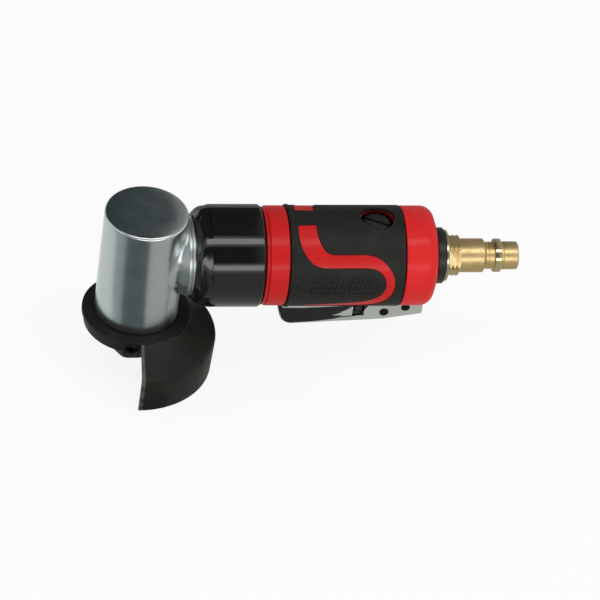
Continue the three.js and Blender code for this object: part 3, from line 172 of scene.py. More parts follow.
# Motor housing
housing_low, housing_high = extent("motor_housing")
HOUSING_FRONT = housing_low.x
CAP_END = housing_high.x
HOUSING_RADIUS = 17.75
RING_END = NUT_REAR + GAP + 8
RING_START = NUT_REAR + GAP / 3
RING_STEP = 1.1
RING_STEP_HEIGHT = 0.6
HOUSING_EDGE = 0.6
THREAD_RADIUS = 15.6
GRIP_FLOOR = 16.6
RIB_RADIUS = 17.72
MOTOR_BORE = 13.4
MOTOR_BORE_END = 70.7
CAP_ROUND = 4.6
CAP_ROUND_ANGLE = 55
CAP_ROUND_START = CAP_END - 5.3
CAP_END_RADIUS = 10.6
CAP_SHOULDER = (CAP_END - 0.65, 13.5)

# Grip sleeve
sleeve_low, sleeve_high = extent("grip_sleeve")
SLEEVE_START = sleeve_low.x
SLEEVE_END = sleeve_high.x
GRIP_LENGTH = SLEEVE_END - SLEEVE_START + 2 * GAP
SLEEVE_RADIUS = HOUSING_RADIUS + 0.2
SLEEVE_LIP = 0.3
SLEEVE_LIP_LENGTH = 1.2
SLEEVE_SLOT = 14.4
WINDOW_RADIUS = 6.2
WINDOW_RIM = 1.3
WINDOW_RIM_HEIGHT = 0.08
STRIPE_WIDTH = 4.7
STRIPE_STEPS = 6

# The S along the grip's sides, from its upper front end: places as shares of the grip's length,
# of a quarter turn up from the side, and of the stripe's width
STRIPE_SHARES = [
    (0.153, 0.855, 1.38), (0.16, 0.675, 1.43), (0.191, 0.534, 1.43), (0.239, 0.431, 1.36),
    (0.293, 0.383, 1.2), (0.359, 0.368, 1.03), (0.43, 0.366, 1), (0.54, 0.366, 1), (0.653, 0.366, 1),
    (0.733, 0.343, 0.9), (0.8, 0.279, 0.76), (0.85, 0.181, 0.68), (0.873, 0.072, 0.65),
    (0.87, -0.037, 0.66), (0.841, -0.161, 0.71), (0.791, -0.261, 0.86), (0.703, -0.352, 0.97),
    (0.6, -0.4, 1.02), (0.5, -0.43, 1.02), (0.377, -0.46, 1), (0.185, -0.48, 0.77),
]

# A plain ribbed pad on the grip's sides
PAD_FRONT = (57, 0.2)
PAD_REAR = (79.5, 0.2)
PAD_RADIUS = 3.4
PAD_RIM = 0.6
PAD_RISE = 0.3
PAD_RIBS = 14
PAD_RIB_WIDTH = 0.75
PAD_RIB_SLANT = 0.9

# Throttle lever and latch
lever_low, lever_high = extent("throttle_lever")
PIVOT = joint_place("throttle_squeeze")
LATCH_PIVOT = joint_place("latch_turn")
LEVER_FRONT = lever_low.x
LEVER_REAR = lever_high.x
LEVER_BOTTOM = lever_low.z
LEVER_EAR_TOP = lever_high.z
LEVER_HALF_WIDTH = lever_high.y
LEVER_WALL_TOP = -15.6
LEVER_SHEET = 1
LEVER_ROUND = 4.6
LEVER_KNEE = (88, -24.85)
LEVER_REAR_BOTTOM = -22.25
LEVER_EAR_START = 93
LEVER_EAR_RAMP = 2.2
LEVER_EDGE = 0.9
LEVER_STROKE = radians(3.5)
PRESSED_GAP = 0.05
LEVER_NOTCH = (77, 81.2)
LEVER_NOTCH_FLOOR = -22.75
LEVER_TAIL_SLOT = (84.8, 88.4)
LEVER_TAIL_SLOT_REACH = 1.5
PIVOT_PIN_RADIUS = 1.4
PIVOT_HEAD = 0.25
LATCH_PIN_RADIUS = 0.9
LATCH_PIN_HEAD = 1.5
LATCH_HUB = 1.6
LATCH_BLOCK = (2.4, 3.6)
LATCH_ARM = (3.5, 4.7)
LATCH_ARM_ROOT = 1.9
LATCH_BRIDGE = (85.1, 86)
LATCH_BRIDGE_REACH = 4.4
LATCH_FOOT = (84, 87.4)
LATCH_FOOT_REACH = 1.2
LATCH_FOOT_HEIGHT = 0.7
LUG_LENGTH = 6.8
LUG_HALF_WIDTH = 4.9
LUG_EYE = 2.2
LUG_START = -17
LUG_ROOT = -10

# Regulator and valve
VALVE_PLACE = PIVOT.x - 13.6
VALVE_BORE = 3.8
VALVE_CHAMBER_TOP = 0.9
REGULATOR_BORE = 5.9
REGULATOR_FLOOR = 3
BOSS_TOP = extent("regulator_dial")[1].z
REGULATOR_TOP = BOSS_TOP - 2
BOSS_RADIUS = 4.7
REGULATOR_SLOT = (1.2, 1.6)
REGULATOR_SLOT_TURN = radians(63)
DIAL_GROOVE = (8.3, 9.7)
DIAL_GROOVE_DEPTH = 1
DIAL_MARKS = 9
DIAL_MARK_STEP = 30
DIAL_MARK_WIDTH = 0.24
DIAL_MARK_LENGTH = 1.1
DIAL_MARK_DEPTH = 0.2
AIRWAY_RADIUS = 1.5
INLET_AIRWAY_HEIGHT = 5
RING_GROOVE = (13.9, 15.3)
SNAP_RING_WALL = 1.1
SNAP_RING_OPENING = 40
SNAP_RING_REACH = 20

# Air inlet
ring_low, ring_high = extent("exhaust_ring")
EXHAUST_BORE = 7.2
EXHAUST_SLOTS = 12
EXHAUST_SLOT_WIDTH = 1.1
EXHAUST_SLOT_DEPTH = 0.7
EXHAUST_RIM = 0.9
EXHAUST_HOLE_RADIUS = 1.15
EXHAUST_HOLE_CIRCLE = 8.25
EXHAUST_HOLE_ANGLE = 26
INLET_START = extent("inlet_bushing")[0].x
INLET_THREAD_RADIUS = 6.6
INLET_BORE = 5.2
FLANGE_START = ring_high.x + GAP
FLANGE_END = extent("inlet_bushing")[1].x
FLANGE_RADIUS = 9.2

# Air plug
plug_low, plug_high = extent("air_plug")
PLUG_THREAD_RADIUS = 4.9
HEX_START = FLANGE_END + GAP
HEX_LENGTH = 4.2
HEX_FLATS = 13
HEX_CORNER = 7.35
HEX_NOTCH = 0.55
PLUG_BODY_RADIUS = 6.05
PLUG_BODY_END = 122.3
PLUG_GROOVE_START = 122.9
PLUG_GROOVE_RADIUS = 4.85
PLUG_LINES = (124.1, 129.5)
PLUG_LINE_DEPTH = 0.15
PLUG_COLLAR_START = 126.2
PLUG_COLLAR_RADIUS = 6
PLUG_NOSE_START = 128.6
PLUG_NOSE_RADIUS = 5
PLUG_NOSE_ROUND = 0.8
PLUG_BORE = 3.1
POLISH_FADE = 0.1
POLISH_END = PLUG_NOSE_START - 0.3

# Spindle end
DISC_SEAT = 5 - AXIS_HEIGHT
STUD_RADIUS = 4
STUD_CHAMFER = 0.5
THREAD_PITCH = 1.25
THREAD_DEPTH = 0.55
STUD_TOP = -25
FLANGE_HUB_RADIUS = 6.3
INNER_FLANGE_RADIUS = 9
INNER_FLANGE_THICKNESS = 5
PILOT_RADIUS = 4.85
PILOT_HEIGHT = 0.9
RETAINER_RADIUS = 11
RETAINER_HOLE_RADIUS = 0.8
RETAINER_HOLE_DEPTH = 1.4
DISC_NUT_FLATS = 12.4
DISC_NUT_CHAMFER = (0.4, 0.7)

# Guard
shell_low, shell_high = extent("guard_shell")
collar_low, collar_high = extent("guard_collar")
COLLAR_RADIUS = -collar_low.x
COLLAR_BOTTOM = collar_low.z
COLLAR_TOP = collar_high.z
COLLAR_BORE = NECK_RADIUS + GAP
COLLAR_STEP = 2
COLLAR_STEP_DEPTH = 0.9
GUARD_SHEET = 1.2
GUARD_RIM = shell_high.y
GUARD_LIP = shell_low.z
GUARD_CROWN = shell_high.z
GUARD_BEND = 3
GUARD_CONE = radians(40)
GUARD_SKIRT = 13.2
GUARD_LIP_INSET = 0.6
GUARD_HEM = 2.8
SCREW_ANGLE = radians(-100)
SCREW_RADIUS = 1.9
SCREW_SOCKET = 2
SCREW_BOSS_RADIUS = 2.25
SCREW_BOSS_HEIGHT = 0.7


# Outlines and solids
def arc(centre, radius, start, end, steps):
    """Points on an arc from one angle to another, in degrees."""
    turns = [radians(start + (end - start) * i / steps) for i in range(steps + 1)]
    return [(centre[0] + radius * cos(t), centre[1] + radius * sin(t)) for t in turns]


def curve(start, control, stop, steps):
    """Points on a quadratic curve."""
    shares = [k / steps for k in range(steps + 1)]
    return [(1 - t) ** 2 * start + 2 * t * (1 - t) * control + t * t * stop for t in shares]


def rounded(outline, radius=0.2, steps=3, loop=True):
    """The outline with its corners off the axis eased. A point's third number is a radius of its own."""
    result = []
    last = len(outline) - 1
    for i, point in enumerate(outline):
        here = Vector(point[:2])
        before = Vector(outline[i - 1][:2]) - here
        after = Vector(outline[(i + 1) % len(outline)][:2]) - here
        end = not loop and i in (0, last)
        if end or abs(here.y) < TINY or before.angle(after) > STRAIGHT:
            result.append(tuple(here))
            continue
        wanted = point[2] if len(point) > 2 else radius
        shorten = min(wanted, EASE_SHARE * before.length, EASE_SHARE * after.length)
        start, stop = here + before.normalized() * shorten, here + after.normalized() * shorten
        result += [tuple(step) for step in curve(start, here, stop, steps)]
    return result


def spot(axis, along, out, turn):
    """The point at a distance out from an axis, at a turn about it."""
    across, up = out * cos(turn), out * sin(turn)
    return {"x": (along, across, up), "y": (up, along, across), "z": (across, up, along)}[axis]


def linked(name, data):
    piece = bpy.data.objects.new(name, data)
    bpy.context.scene.collection.objects.link(piece)
    return piece


def make_object(bm, name="part"):
    bmesh.ops.recalc_face_normals(bm, faces=bm.faces)
    mesh = bpy.data.meshes.new(name)
    bm.to_mesh(mesh)
    bm.free()
    return linked(name, mesh)


def lathe(axis, outline, sides=SIDES):
    """A closed outline of (along, radius) points turned about an axis."""
    bm = bmesh.new()
    turns = [FULL_TURN * i / sides for i in range(sides)]
    rings = []
    for along, out in outline:
        if out < TINY:
            rings.append([bm.verts.new(spot(axis, along, 0, 0))] * sides)
        else:
            rings.append([bm.verts.new(spot(axis, along, out, turn)) for turn in turns])
    for near, far in zip(rings, rings[1:] + rings[:1]):
        for i in range(sides):
            corners = list(dict.fromkeys((near[i], near[i - 1], far[i - 1], far[i])))
            if len(corners) > 2:
                bm.faces.new(corners)
    return make_object(bm)


def prism(axis, outline, start, end):
    """A flat outline pushed along an axis: (y, z) points along x, (x, z) along y and (x, y) along z."""
    def corner(u, v, along):
        return {"x": (along, u, v), "y": (u, along, v), "z": (u, v, along)}[axis]
    bm = bmesh.new()
    near = [bm.verts.new(corner(u, v, start)) for u, v in outline]
    far = [bm.verts.new(corner(u, v, end)) for u, v in outline]
    bm.faces.new(near)
    bm.faces.new(far)
    for i in range(len(outline)):
        bm.faces.new((near[i - 1], near[i], far[i], far[i - 1]))
    return make_object(bm)


def rod(axis, radius, start, end, centre=(0, 0), sides=SMALL_SIDES):
    turns = [FULL_TURN * (i + 0.5) / sides for i in range(sides)]
    outline = [(centre[0] + radius * cos(turn), centre[1] + radius * sin(turn)) for turn in turns]
    return prism(axis, outline, start, end)


def capped(axis, radius, start, end, ease, edge=0.1, steps=4):
    """A rod with its far corner eased."""
    outline = [(start, 0), (start, radius), (end, radius, ease), (end, 0)]
    return lathe(axis, rounded(outline, edge, steps), SMALL_SIDES)


def tube(axis, inner, outer, start, end, edge=0.15, sides=SIDES):
    return lathe(axis, rounded([(start, inner), (start, outer), (end, outer), (end, inner)], edge), sides)


def box(xs, ys, zs):
    return prism("z", [(xs[0], ys[0]), (xs[1], ys[0]), (xs[1], ys[1]), (xs[0], ys[1])], zs[0], zs[1])


def hex_corner(flats):
    return flats / 2 / cos(FULL_TURN / 12)


def hexagon(flats):
    corner = hex_corner(flats)
    return [(corner * cos(FULL_TURN * i / 6), corner * sin(FULL_TURN * i / 6)) for i in range(6)]


def turned(piece, axis, angle, centre=(0, 0, 0)):
    """The piece turned about an axis through a point."""
    shift = Matrix.Translation(centre)
    piece.data.transform(shift @ Matrix.Rotation(angle, 4, axis) @ shift.inverted())
    return piece


def moved(piece, x, y, z):
    piece.data.transform(Matrix.Translation((x, y, z)))
    return piece


def applied(piece):
    """Bakes the piece's modifiers into its mesh."""
    bpy.context.view_layer.update()
    depsgraph = bpy.context.evaluated_depsgraph_get()
    mesh = bpy.data.meshes.new_from_object(piece.evaluated_get(depsgraph))
    piece.modifiers.clear()
    piece.data = mesh
    return piece


def combined(piece, operation, others):
    for other in others:
        modifier = piece.modifiers.new("combine", "BOOLEAN")
        modifier.operation = operation
        modifier.solver = "EXACT"
        modifier.object = other
    applied(piece)
    for other in others:
        bpy.data.objects.remove(other)
    return piece


def joined(piece, *others):
    return combined(piece, "UNION", others)


def cut(piece, *others):
    return combined(piece, "DIFFERENCE", others)


def common(piece, other):
    return combined(piece, "INTERSECT", [other])


def eased(piece, width, segments=2, angle=EASE_ANGLE):
    """Bevels the piece's sharp edges, so that they catch the light."""
    modifier = piece.modifiers.new("ease", "BEVEL")
    modifier.width = width
    modifier.segments = segments
    modifier.limit_method = "ANGLE"
    modifier.angle_limit = angle
    modifier.miter_outer = "MITER_ARC"
    return applied(piece)


# Finishes
def linear(red, green, blue):
    """A colour given as it looks on a screen, from 0 to 255, as the renderer needs it."""
    shares = [channel / 255 for channel in (red, green, blue)]
    return tuple(s / 12.92 if s <= 0.04045 else ((s + 0.055) / 1.055) ** 2.4 for s in shares) + (1.0,)


def shade(color, factor):
    return tuple(min(1.0, channel * factor) for channel in color[:3]) + (1.0,)


def new_material(name):
    material = bpy.data.materials.new(name)
    material.use_nodes = True
    return material


def feed(tree, socket, value):
    """Sets a socket to a number or colour, or links it to another node's output."""
    if isinstance(value, bpy.types.NodeSocket):
        tree.links.new(value, socket)
    else:
        socket.default_value = value


def add_node(tree, kind, **inputs):
    node = tree.nodes.new("ShaderNode" + kind)
    for name, value in inputs.items():
        feed(tree, node.inputs[name.replace("_", " ").title()], value)
    return node


def calculated(tree, operation, first, second):
    node = add_node(tree, "Math")
    node.operation = operation
    for socket, value in zip(node.inputs, (first, second)):
        feed(tree, socket, value)
    return node.outputs["Value"]


class Finish:
    """A node material under construction, with lengths in millimetres."""

    def __init__(self, name, metallic=0.0, specular=0.5, coat=0.0):
        self.material = new_material(name)
        self.tree = self.material.node_tree
        self.surface = self.tree.nodes["Principled BSDF"].inputs
        for socket, value in (("Metallic", metallic), ("Specular IOR Level", specular),
                              ("Coat Weight", coat), ("Coat Roughness", 0.1)):
            self.surface[socket].default_value = value
        self.coords = add_node(self.tree, "TexCoord").outputs["Object"]

    def noise(self, size, detail=4, stretch=(1, 1, 1)):
        spots = add_node(self.tree, "Mapping", vector=self.coords, scale=stretch).outputs["Vector"]
        node = add_node(self.tree, "TexNoise", vector=spots, scale=1 / (size * MM), detail=detail)
        return node.outputs["Fac"]

    def lines(self, pitch, direction, distortion=0.6):
        """Fine turned or ground lines, one pitch apart along a direction."""
        node = add_node(self.tree, "TexWave", vector=self.coords, scale=FULL_TURN / (20 * pitch * MM),
                        distortion=distortion, detail=3, detail_scale=2)
        node.bands_direction = direction
        return node.outputs["Fac"]

    def ranged(self, value, low, high, to_low=0, to_high=1):
        node = add_node(self.tree, "MapRange", value=value, from_min=low, from_max=high,
                        to_min=to_low, to_max=to_high)
        return node.outputs["Result"]

    def patches(self, size, low, high):
        """A value that varies in soft patches."""
        return self.ranged(self.noise(size), 0.3, 0.7, low, high)

    def openness(self, reach):
        """How open a spot lies, from 0 in a narrow groove to 1 in the open."""
        node = add_node(self.tree, "AmbientOcclusion", distance=reach * MM)
        node.samples = 8
        return self.ranged(node.outputs["AO"], 0.35, 0.85)

    def along(self, low, high, to_low=0, to_high=1):
        """A value that changes between two places along the handle."""
        split = add_node(self.tree, "SeparateXYZ", vector=self.coords)
        return self.ranged(split.outputs["X"], low * MM, high * MM, to_low, to_high)

    def edges(self, start, end):
        """How far a spot stands out as an edge, from 0 to 1."""
        return self.ranged(add_node(self.tree, "NewGeometry").outputs["Pointiness"], start, end)

    def wear_and_edge_highlight(self, edges, size, *spread):
        """Patchy paler edges, from 0 to 1: wear on some finishes, a painted highlight on others."""
        return calculated(self.tree, "MULTIPLY", self.edges(*edges), self.ranged(self.noise(size), *spread))

    def mixed(self, share, first, second):
        """A colour between two, which are colours or sockets."""
        node = add_node(self.tree, "Mix")
        node.data_type = "RGBA"
        self.tree.links.new(share, node.inputs["Factor"])
        for socket, value in zip([s for s in node.inputs if s.type == "RGBA"], (first, second)):
            feed(self.tree, socket, value)
        return next(s for s in node.outputs if s.type == "RGBA")

    def mottled(self, size, first, second, low=0.35, high=0.65):
        """Soft patches of two colours."""
        return self.mixed(self.ranged(self.noise(size), low, high), first, second)

    def done(self, color, roughness, *layers):
        """The material, with its colour, roughness and layers of bump with their depths."""
        feed(self.tree, self.surface["Base Color"], color)
        feed(self.tree, self.surface["Roughness"], roughness)
        normal = None
        for height, depth in layers:
            bump = add_node(self.tree, "Bump", distance=depth * MM, height=height)
            if normal is not None:
                self.tree.links.new(normal, bump.inputs["Normal"])
            normal = bump.outputs["Normal"]
        self.tree.links.new(normal, self.surface["Normal"])
        return self.material


def polished_steel():
    """Hand-polished casting: soft hazy patches, fine scratches and a slight waviness."""
    finish = Finish("head_steel", metallic=1.0)
    base = linear(198, 204, 204)
    haze = finish.noise(7, 3)
    neck = finish.along(HEAD_RADIUS - 5, HEAD_RADIUS - 2, 0, 0.14)
    return finish.done(
        finish.mixed(finish.ranged(haze, 0.35, 0.65), shade(base, 0.95), base),
        calculated(finish.tree, "ADD", finish.ranged(haze, 0.3, 0.7, 0.22, 0.27), neck),
        (finish.noise(6, 1), 0.03), (finish.noise(0.35, 2, (1, 1, 0.08)), 0.0016))


def plain_finish(name, base, mottle, rough, layers, edge_wear_and_highlight=None, lines=None, **surface):
    """Patches of two shades and of roughness, with layers of bump, perhaps fine lines, and perhaps paler
    edges: wear on some finishes, a painted highlight on others.

    mottle is the patches' size and the two factors on the base colour, and rough is a size and the range.
    Each layer is a noise's size and detail and the bump's depth.
    """
    finish = Finish(name, **surface)
    size, dark, light, *span = mottle
    color = finish.mottled(size, shade(base, dark), shade(base, light), *span)
    # Paler edges: wear on some finishes, a painted highlight on the guard's
    if edge_wear_and_highlight:
        *spots, pale_edge_colour = edge_wear_and_highlight
        color = finish.mixed(finish.wear_and_edge_highlight(*spots), color, pale_edge_colour)
    reliefs = [(finish.noise(*grain), depth) for *grain, depth in layers]
    if lines:
        *run, depth = lines
        reliefs.insert(0, (finish.lines(*run), depth))
    return finish.done(color, finish.patches(*rough), *reliefs)


def red_enamel():
    """Red stoved paint over a casting, a little paler on the cap, with painted shade in the grooves and a
    painted highlight on the edges.
    """
    finish = Finish("housing_red", specular=0.14, coat=0.12)
    cap = finish.along(SLEEVE_END, SLEEVE_END + 1)
    base = finish.mixed(cap, linear(192, 22, 22), linear(212, 30, 31))
    faded = finish.mixed(cap, linear(198, 26, 26), linear(218, 36, 37))
    # Painted highlight: pale pink on the rounded edges, spread in patches like wear
    wear_and_edge_highlight = finish.wear_and_edge_highlight((0.54, 0.64), 1.1, 0.5, 0.66, 0, 0.3)
    unshaded = finish.mixed(wear_and_edge_highlight, finish.mottled(11, base, faded), linear(232, 120, 112))
    # Painted shade: dark red where the surface lies in a groove or hollow, from an occlusion mask
    return finish.done(finish.mixed(finish.openness(5), linear(88, 10, 20), unshaded),
                       finish.patches(3, 0.4, 0.5), (finish.noise(0.7, 3), 0.008))


def dark_steel():
    """Blackened steel, oily and uneven."""
    finish = Finish("dark_steel", metallic=1.0)
    base = linear(44, 44, 44)
    body = finish.mottled(1.6, shade(base, 0.6), shade(base, 1.2))
    return finish.done(finish.mixed(finish.edges(0.56, 0.7), body, linear(96, 95, 92)),
                       finish.patches(1.2, 0.28, 0.42), (finish.noise(0.3, 3), 0.006))


def bright_chrome():
    """Chrome plate over pressed sheet: nearly a mirror, slightly wavy, with hairline scratches."""
    finish = Finish("lever_chrome", metallic=1.0)
    base = linear(226, 228, 227)
    scratch = finish.ranged(finish.noise(0.4, 2, (0.06, 1, 1)), 0.55, 0.7)
    return finish.done(finish.mottled(6, shade(base, 0.94), base), finish.ranged(scratch, 0, 1, 0.05, 0.16),
                       (finish.noise(5, 1), 0.012))


def turned_brass():
    """Lathe-turned brass with faint tool lines and tarnished specks, and a paler, polished collar."""
    finish = Finish("plug_brass", metallic=1.0)
    base = linear(216, 190, 136)
    tarnish = finish.ranged(finish.noise(1.3, 5), 0.56, 0.7, 0, 0.25)
    stained = finish.mixed(tarnish, finish.mottled(4, shade(base, 0.88), base), linear(160, 118, 62))
    rise = finish.along(PLUG_COLLAR_START, PLUG_COLLAR_START + POLISH_FADE)
    fall = finish.along(POLISH_END - POLISH_FADE, POLISH_END, 1, 0)
    collar = calculated(finish.tree, "MULTIPLY", rise, fall)
    polish = finish.ranged(collar, 0, 1, 0, -0.3)
    return finish.done(finish.mixed(collar, stained, linear(206, 190, 150)),
                       calculated(finish.tree, "ADD", finish.patches(1.1, 0.36, 0.44), polish),
                       (finish.lines(0.22, "X", 0.3), 0.004), (finish.noise(0.5, 3), 0.003))


def laminated_fibre():
    """Pressed cloth laminate of the vanes, with thin layers along the handle."""
    finish = Finish("vane_fibre", specular=0.3)
    base = linear(112, 84, 54)
    return finish.done(finish.mixed(finish.lines(0.18, "X", 1.5), shade(base, 0.7), base),
                       finish.patches(0.6, 0.6, 0.75), (finish.noise(0.25, 3), 0.015))


# Matt rubber with a fine moulded grain and slightly rubbed edges
RUBBER = dict(mottle=(6, 0.85, 1.15), rough=(4, 0.5, 0.64), specular=0.2)
RUBBED = ((0.52, 0.6), 2, 0.4, 0.65, 0, 0.35)
GRIP_BASE, SEAL_BASE = linear(30, 31, 28), linear(26, 26, 26)

# Bright metal with fine ground lines
GROUND = dict(mottle=(2.5, 0.82, 1), rough=(0.9, 0.2, 0.32), layers=[(0.5, 3, 0.003)], metallic=1.0)
FLANGE_NICKEL = plain_finish("flange_nickel", linear(188, 180, 150), lines=(0.16, "X", 0.6, 0.003), **GROUND)

# Sintered bronze, dull and speckled
BRONZE = plain_finish("bush_bronze", linear(168, 122, 66), (0.5, 0.7, 1, 0.4, 0.6), (0.4, 0.3, 0.5),
                      [(0.2, 3, 0.01)], metallic=1.0)
SLOT_FINISHES = {
    "head_steel": polished_steel(), "housing_red": red_enamel(), "dark_steel": dark_steel(),
    "lever_chrome": bright_chrome(), "plug_brass": turned_brass(), "vane_fibre": laminated_fibre(),
    "bearing_cage": BRONZE, "bush_bronze": BRONZE,
    # Black lacquered steel, with a trace of orange peel and paler worn edges
    "nut_black": plain_finish(
        "nut_black", linear(18, 18, 15), (9, 1, 1.35), (2.4, 0.07, 0.13), [(0.9, 2, 0.004)],
        ((0.55, 0.66), 1.4, 0.45, 0.62, 0, 0.3, linear(92, 92, 88)), specular=0.46),
    # Powder-coated sheet: a fine pebbled skin, with paler edges that are a painted highlight, patchy like
    # rubbing
    "guard_black": plain_finish(
        "guard_black", linear(30, 32, 28), (8, 0.85, 1.15), (3, 0.38, 0.5), [(0.45, 3, 0.016)],
        ((0.54, 0.62), 2.4, 0.35, 0.6, 0.1, 0.6, linear(112, 112, 106)), specular=0.13),
    "grip_rubber": plain_finish("grip_rubber", GRIP_BASE, layers=[(0.22, 2, 0.02)],
                                edge_wear_and_highlight=(*RUBBED, shade(GRIP_BASE, 2.2)), **RUBBER),
    "seal_rubber": plain_finish("seal_rubber", SEAL_BASE, layers=[(0.4, 2, 0.006)],
                                edge_wear_and_highlight=(*RUBBED, shade(SEAL_BASE, 2.2)), **RUBBER),
    "plain_steel": plain_finish("plain_steel", linear(176, 177, 178), lines=(0.16, "Z", 0.6, 0.003),
                                **GROUND),
    # Moulded plastic with a light satin texture
    "black_plastic": plain_finish("black_plastic", linear(30, 30, 28), (3, 0.85, 1.2), (1.5, 0.36, 0.48),
                                  [(0.3, 2, 0.01)], specular=0.4),
}


def dress_frame():
    """Gives every CAD node its slot's finish, for those that still show inside the tool."""
    for subpart in frame["record"]["subparts"]:
        materials = frame["nodes"][subpart["node"]].data.materials
        materials.clear()
        materials.append(SLOT_FINISHES[subpart["material_slot"]])


def place(piece, node, slot, body="handle", finish=None):
    """Names and dresses a finished piece, in metres, and hands it to the frame in its CAD node's stead."""
    piece.data.transform(Matrix.Translation((0, 0, AXIS_HEIGHT * MM)) @ Matrix.Scale(MM, 4))
    replaced = node in frame["nodes"]
    piece.name = piece.data.name = f"{node}_skin" if replaced else node
    piece.data.materials.clear()
    piece.data.materials.append(finish or SLOT_FINISHES[slot])
    piece.data.shade_smooth()
    piece.data.set_sharp_from_angle(angle=SHARP_ANGLE)
    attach(piece, body)
    if replaced:
        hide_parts(node)


# Angle head
def rows(start, end, radius):
    """Points along a straight stretch, close enough together for a blend."""
    count = ceil(abs(end - start) / ROW_STEP)
    return [(start + (end - start) * i / count, radius) for i in range(count + 1)]


def throat_radius(along):
    """Radius of the throat at a place along the handle."""
    share = min(max((along - THROAT_END) / (STUB_START - THROAT_END), 0), 1)
    return THROAT_RADIUS + (STUB_RADIUS - THROAT_RADIUS) * share


def throat_point(along, out):
    return Vector((along, out.y * throat_radius(along), out.z * throat_radius(along)))


def throat_blend(out):
    """A soft fillet from the head's skin to the throat's, at one direction out from the handle's axis."""
    along = THROAT_END
    for _ in range(BLEND_ROUNDS):
        along = sqrt(HEAD_RADIUS ** 2 - (throat_radius(along) * out.y) ** 2)
    corner = throat_point(along, out)
    normal = Vector((corner.x, corner.y, 0)).normalized()
    away = (out - normal * out.dot(normal)).normalized()
    sideways = away.dot(Vector((-normal.y, normal.x, 0)))
    swing = atan2(corner.y, corner.x) + sideways * BLEND_REACH / HEAD_RADIUS
    skin = HEAD_RADIUS - BLEND_SINK
    start = Vector((skin * cos(swing), skin * sin(swing), corner.z + away.z * BLEND_REACH))
    stop_place = along + min(BLEND_REACH, BLEND_SHARE * (STUB_START - along))
    stop = throat_point(stop_place, out)
    run = (stop - corner).normalized()
    bulge = (1 - away.z ** 2) * BLEND_REACH ** 2 / (2 * HEAD_RADIUS)
    control = corner + run * min(bulge / max(run.dot(normal), BLEND_SLOPE), (stop - corner).length / 2)
    straight = [stop_place + (STUB_START - stop_place) * k / THROAT_STEPS for k in range(1, THROAT_STEPS)]
    return curve(start, control, stop, BLEND_STEPS) + [throat_point(x, out) for x in straight]


def neck_stub():
    """The head's flared neck with its shoulder groove and the spigot that the clamp nut holds."""
    groove = (STUB_START + STUB_END) / 2
    profile = rounded([
        (STUB_START - STUB_LEAD, throat_radius(STUB_START - STUB_LEAD)), (STUB_START, STUB_RADIUS, 0.25),
        (groove - STUB_GROOVE, STUB_RADIUS, 0.1), (groove, STUB_RADIUS - STUB_GROOVE, 0.1),
        (groove + STUB_GROOVE, STUB_RADIUS, 0.1), (STUB_END, STUB_RADIUS), (STUB_END, SPIGOT_RADIUS),
        (SPIGOT_END, SPIGOT_RADIUS), (SPIGOT_END, 0)], 0.2, 3, loop=False)[1:-1]
    bm = bmesh.new()
    columns = []
    for i in range(SIDES):
        turn = FULL_TURN * i / SIDES
        out = Vector((0, cos(turn), sin(turn)))
        points = throat_blend(out) + [Vector((along, 0, 0)) + out * radius for along, radius in profile]
        columns.append([bm.verts.new(point) for point in points])
    inner, outer = bm.verts.new((1, 0, 0)), bm.verts.new((SPIGOT_END, 0, 0))
    for i, column in enumerate(columns):
        other = columns[i - 1]
        bm.faces.new((inner, column[0], other[0]))
        bm.faces.new((outer, other[-1], column[-1]))
        for k in range(len(column) - 1):
            bm.faces.new((column[k], column[k + 1], other[k + 1], other[k]))
    return make_object(bm)


def head_housing():
    steps = 8
    crown_end = HEAD_RADIUS - HEAD_EDGE
    crown = [(HEAD_TOP - HEAD_CROWN_SAG * (i / steps) ** 2,
              HEAD_CROWN_START + (crown_end - HEAD_CROWN_START) * i / steps) for i in range(steps + 1)]
    edge = arc((HEAD_TOP - HEAD_CROWN_SAG - HEAD_EDGE, HEAD_RADIUS - HEAD_EDGE), HEAD_EDGE, 12, 90, 8)
    foot = rounded([(NECK_BOTTOM, 0), (NECK_BOTTOM, NECK_RADIUS), (-HEAD_DROP, NECK_RADIUS),
                    (-HEAD_DROP, HEAD_RADIUS, 0.4), (-HEAD_TOP, HEAD_RADIUS)], 0.15, 5, loop=False)
    shell = lathe("z", foot + rows(-HEAD_TOP + ROW_ENDS[0], HEAD_TOP - ROW_ENDS[1], HEAD_RADIUS)
                  + edge[::-1] + crown[::-1][1:] + [(HEAD_TOP, 0)])
    chamber = lathe("z", [
        (NECK_BOTTOM - OVERRUN, 0), (NECK_BOTTOM - OVERRUN, BEARING_HOUSE_RADIUS),
        (BEARING_SEAT, BEARING_HOUSE_RADIUS), (BEARING_SEAT, CHAMBER_RADIUS), (CHAMBER_TOP, CHAMBER_RADIUS),
        (CHAMBER_TOP, BUSH_HOUSE_RADIUS), (BUSH_HOUSE_END, BUSH_HOUSE_RADIUS), (BUSH_HOUSE_END, 0)])
    bore = lathe("x", [
        (0, 0), (0, PINION_HOUSE_RADIUS), (PINION_SEAT, PINION_HOUSE_RADIUS),
        (PINION_SEAT, SHAFT_HOUSE_RADIUS),
        (SPIGOT_END + OVERRUN, SHAFT_HOUSE_RADIUS), (SPIGOT_END + OVERRUN, 0)])
    body = cut(joined(shell, neck_stub()), chamber, bore)
    place(body, "head_housing", "head_steel")


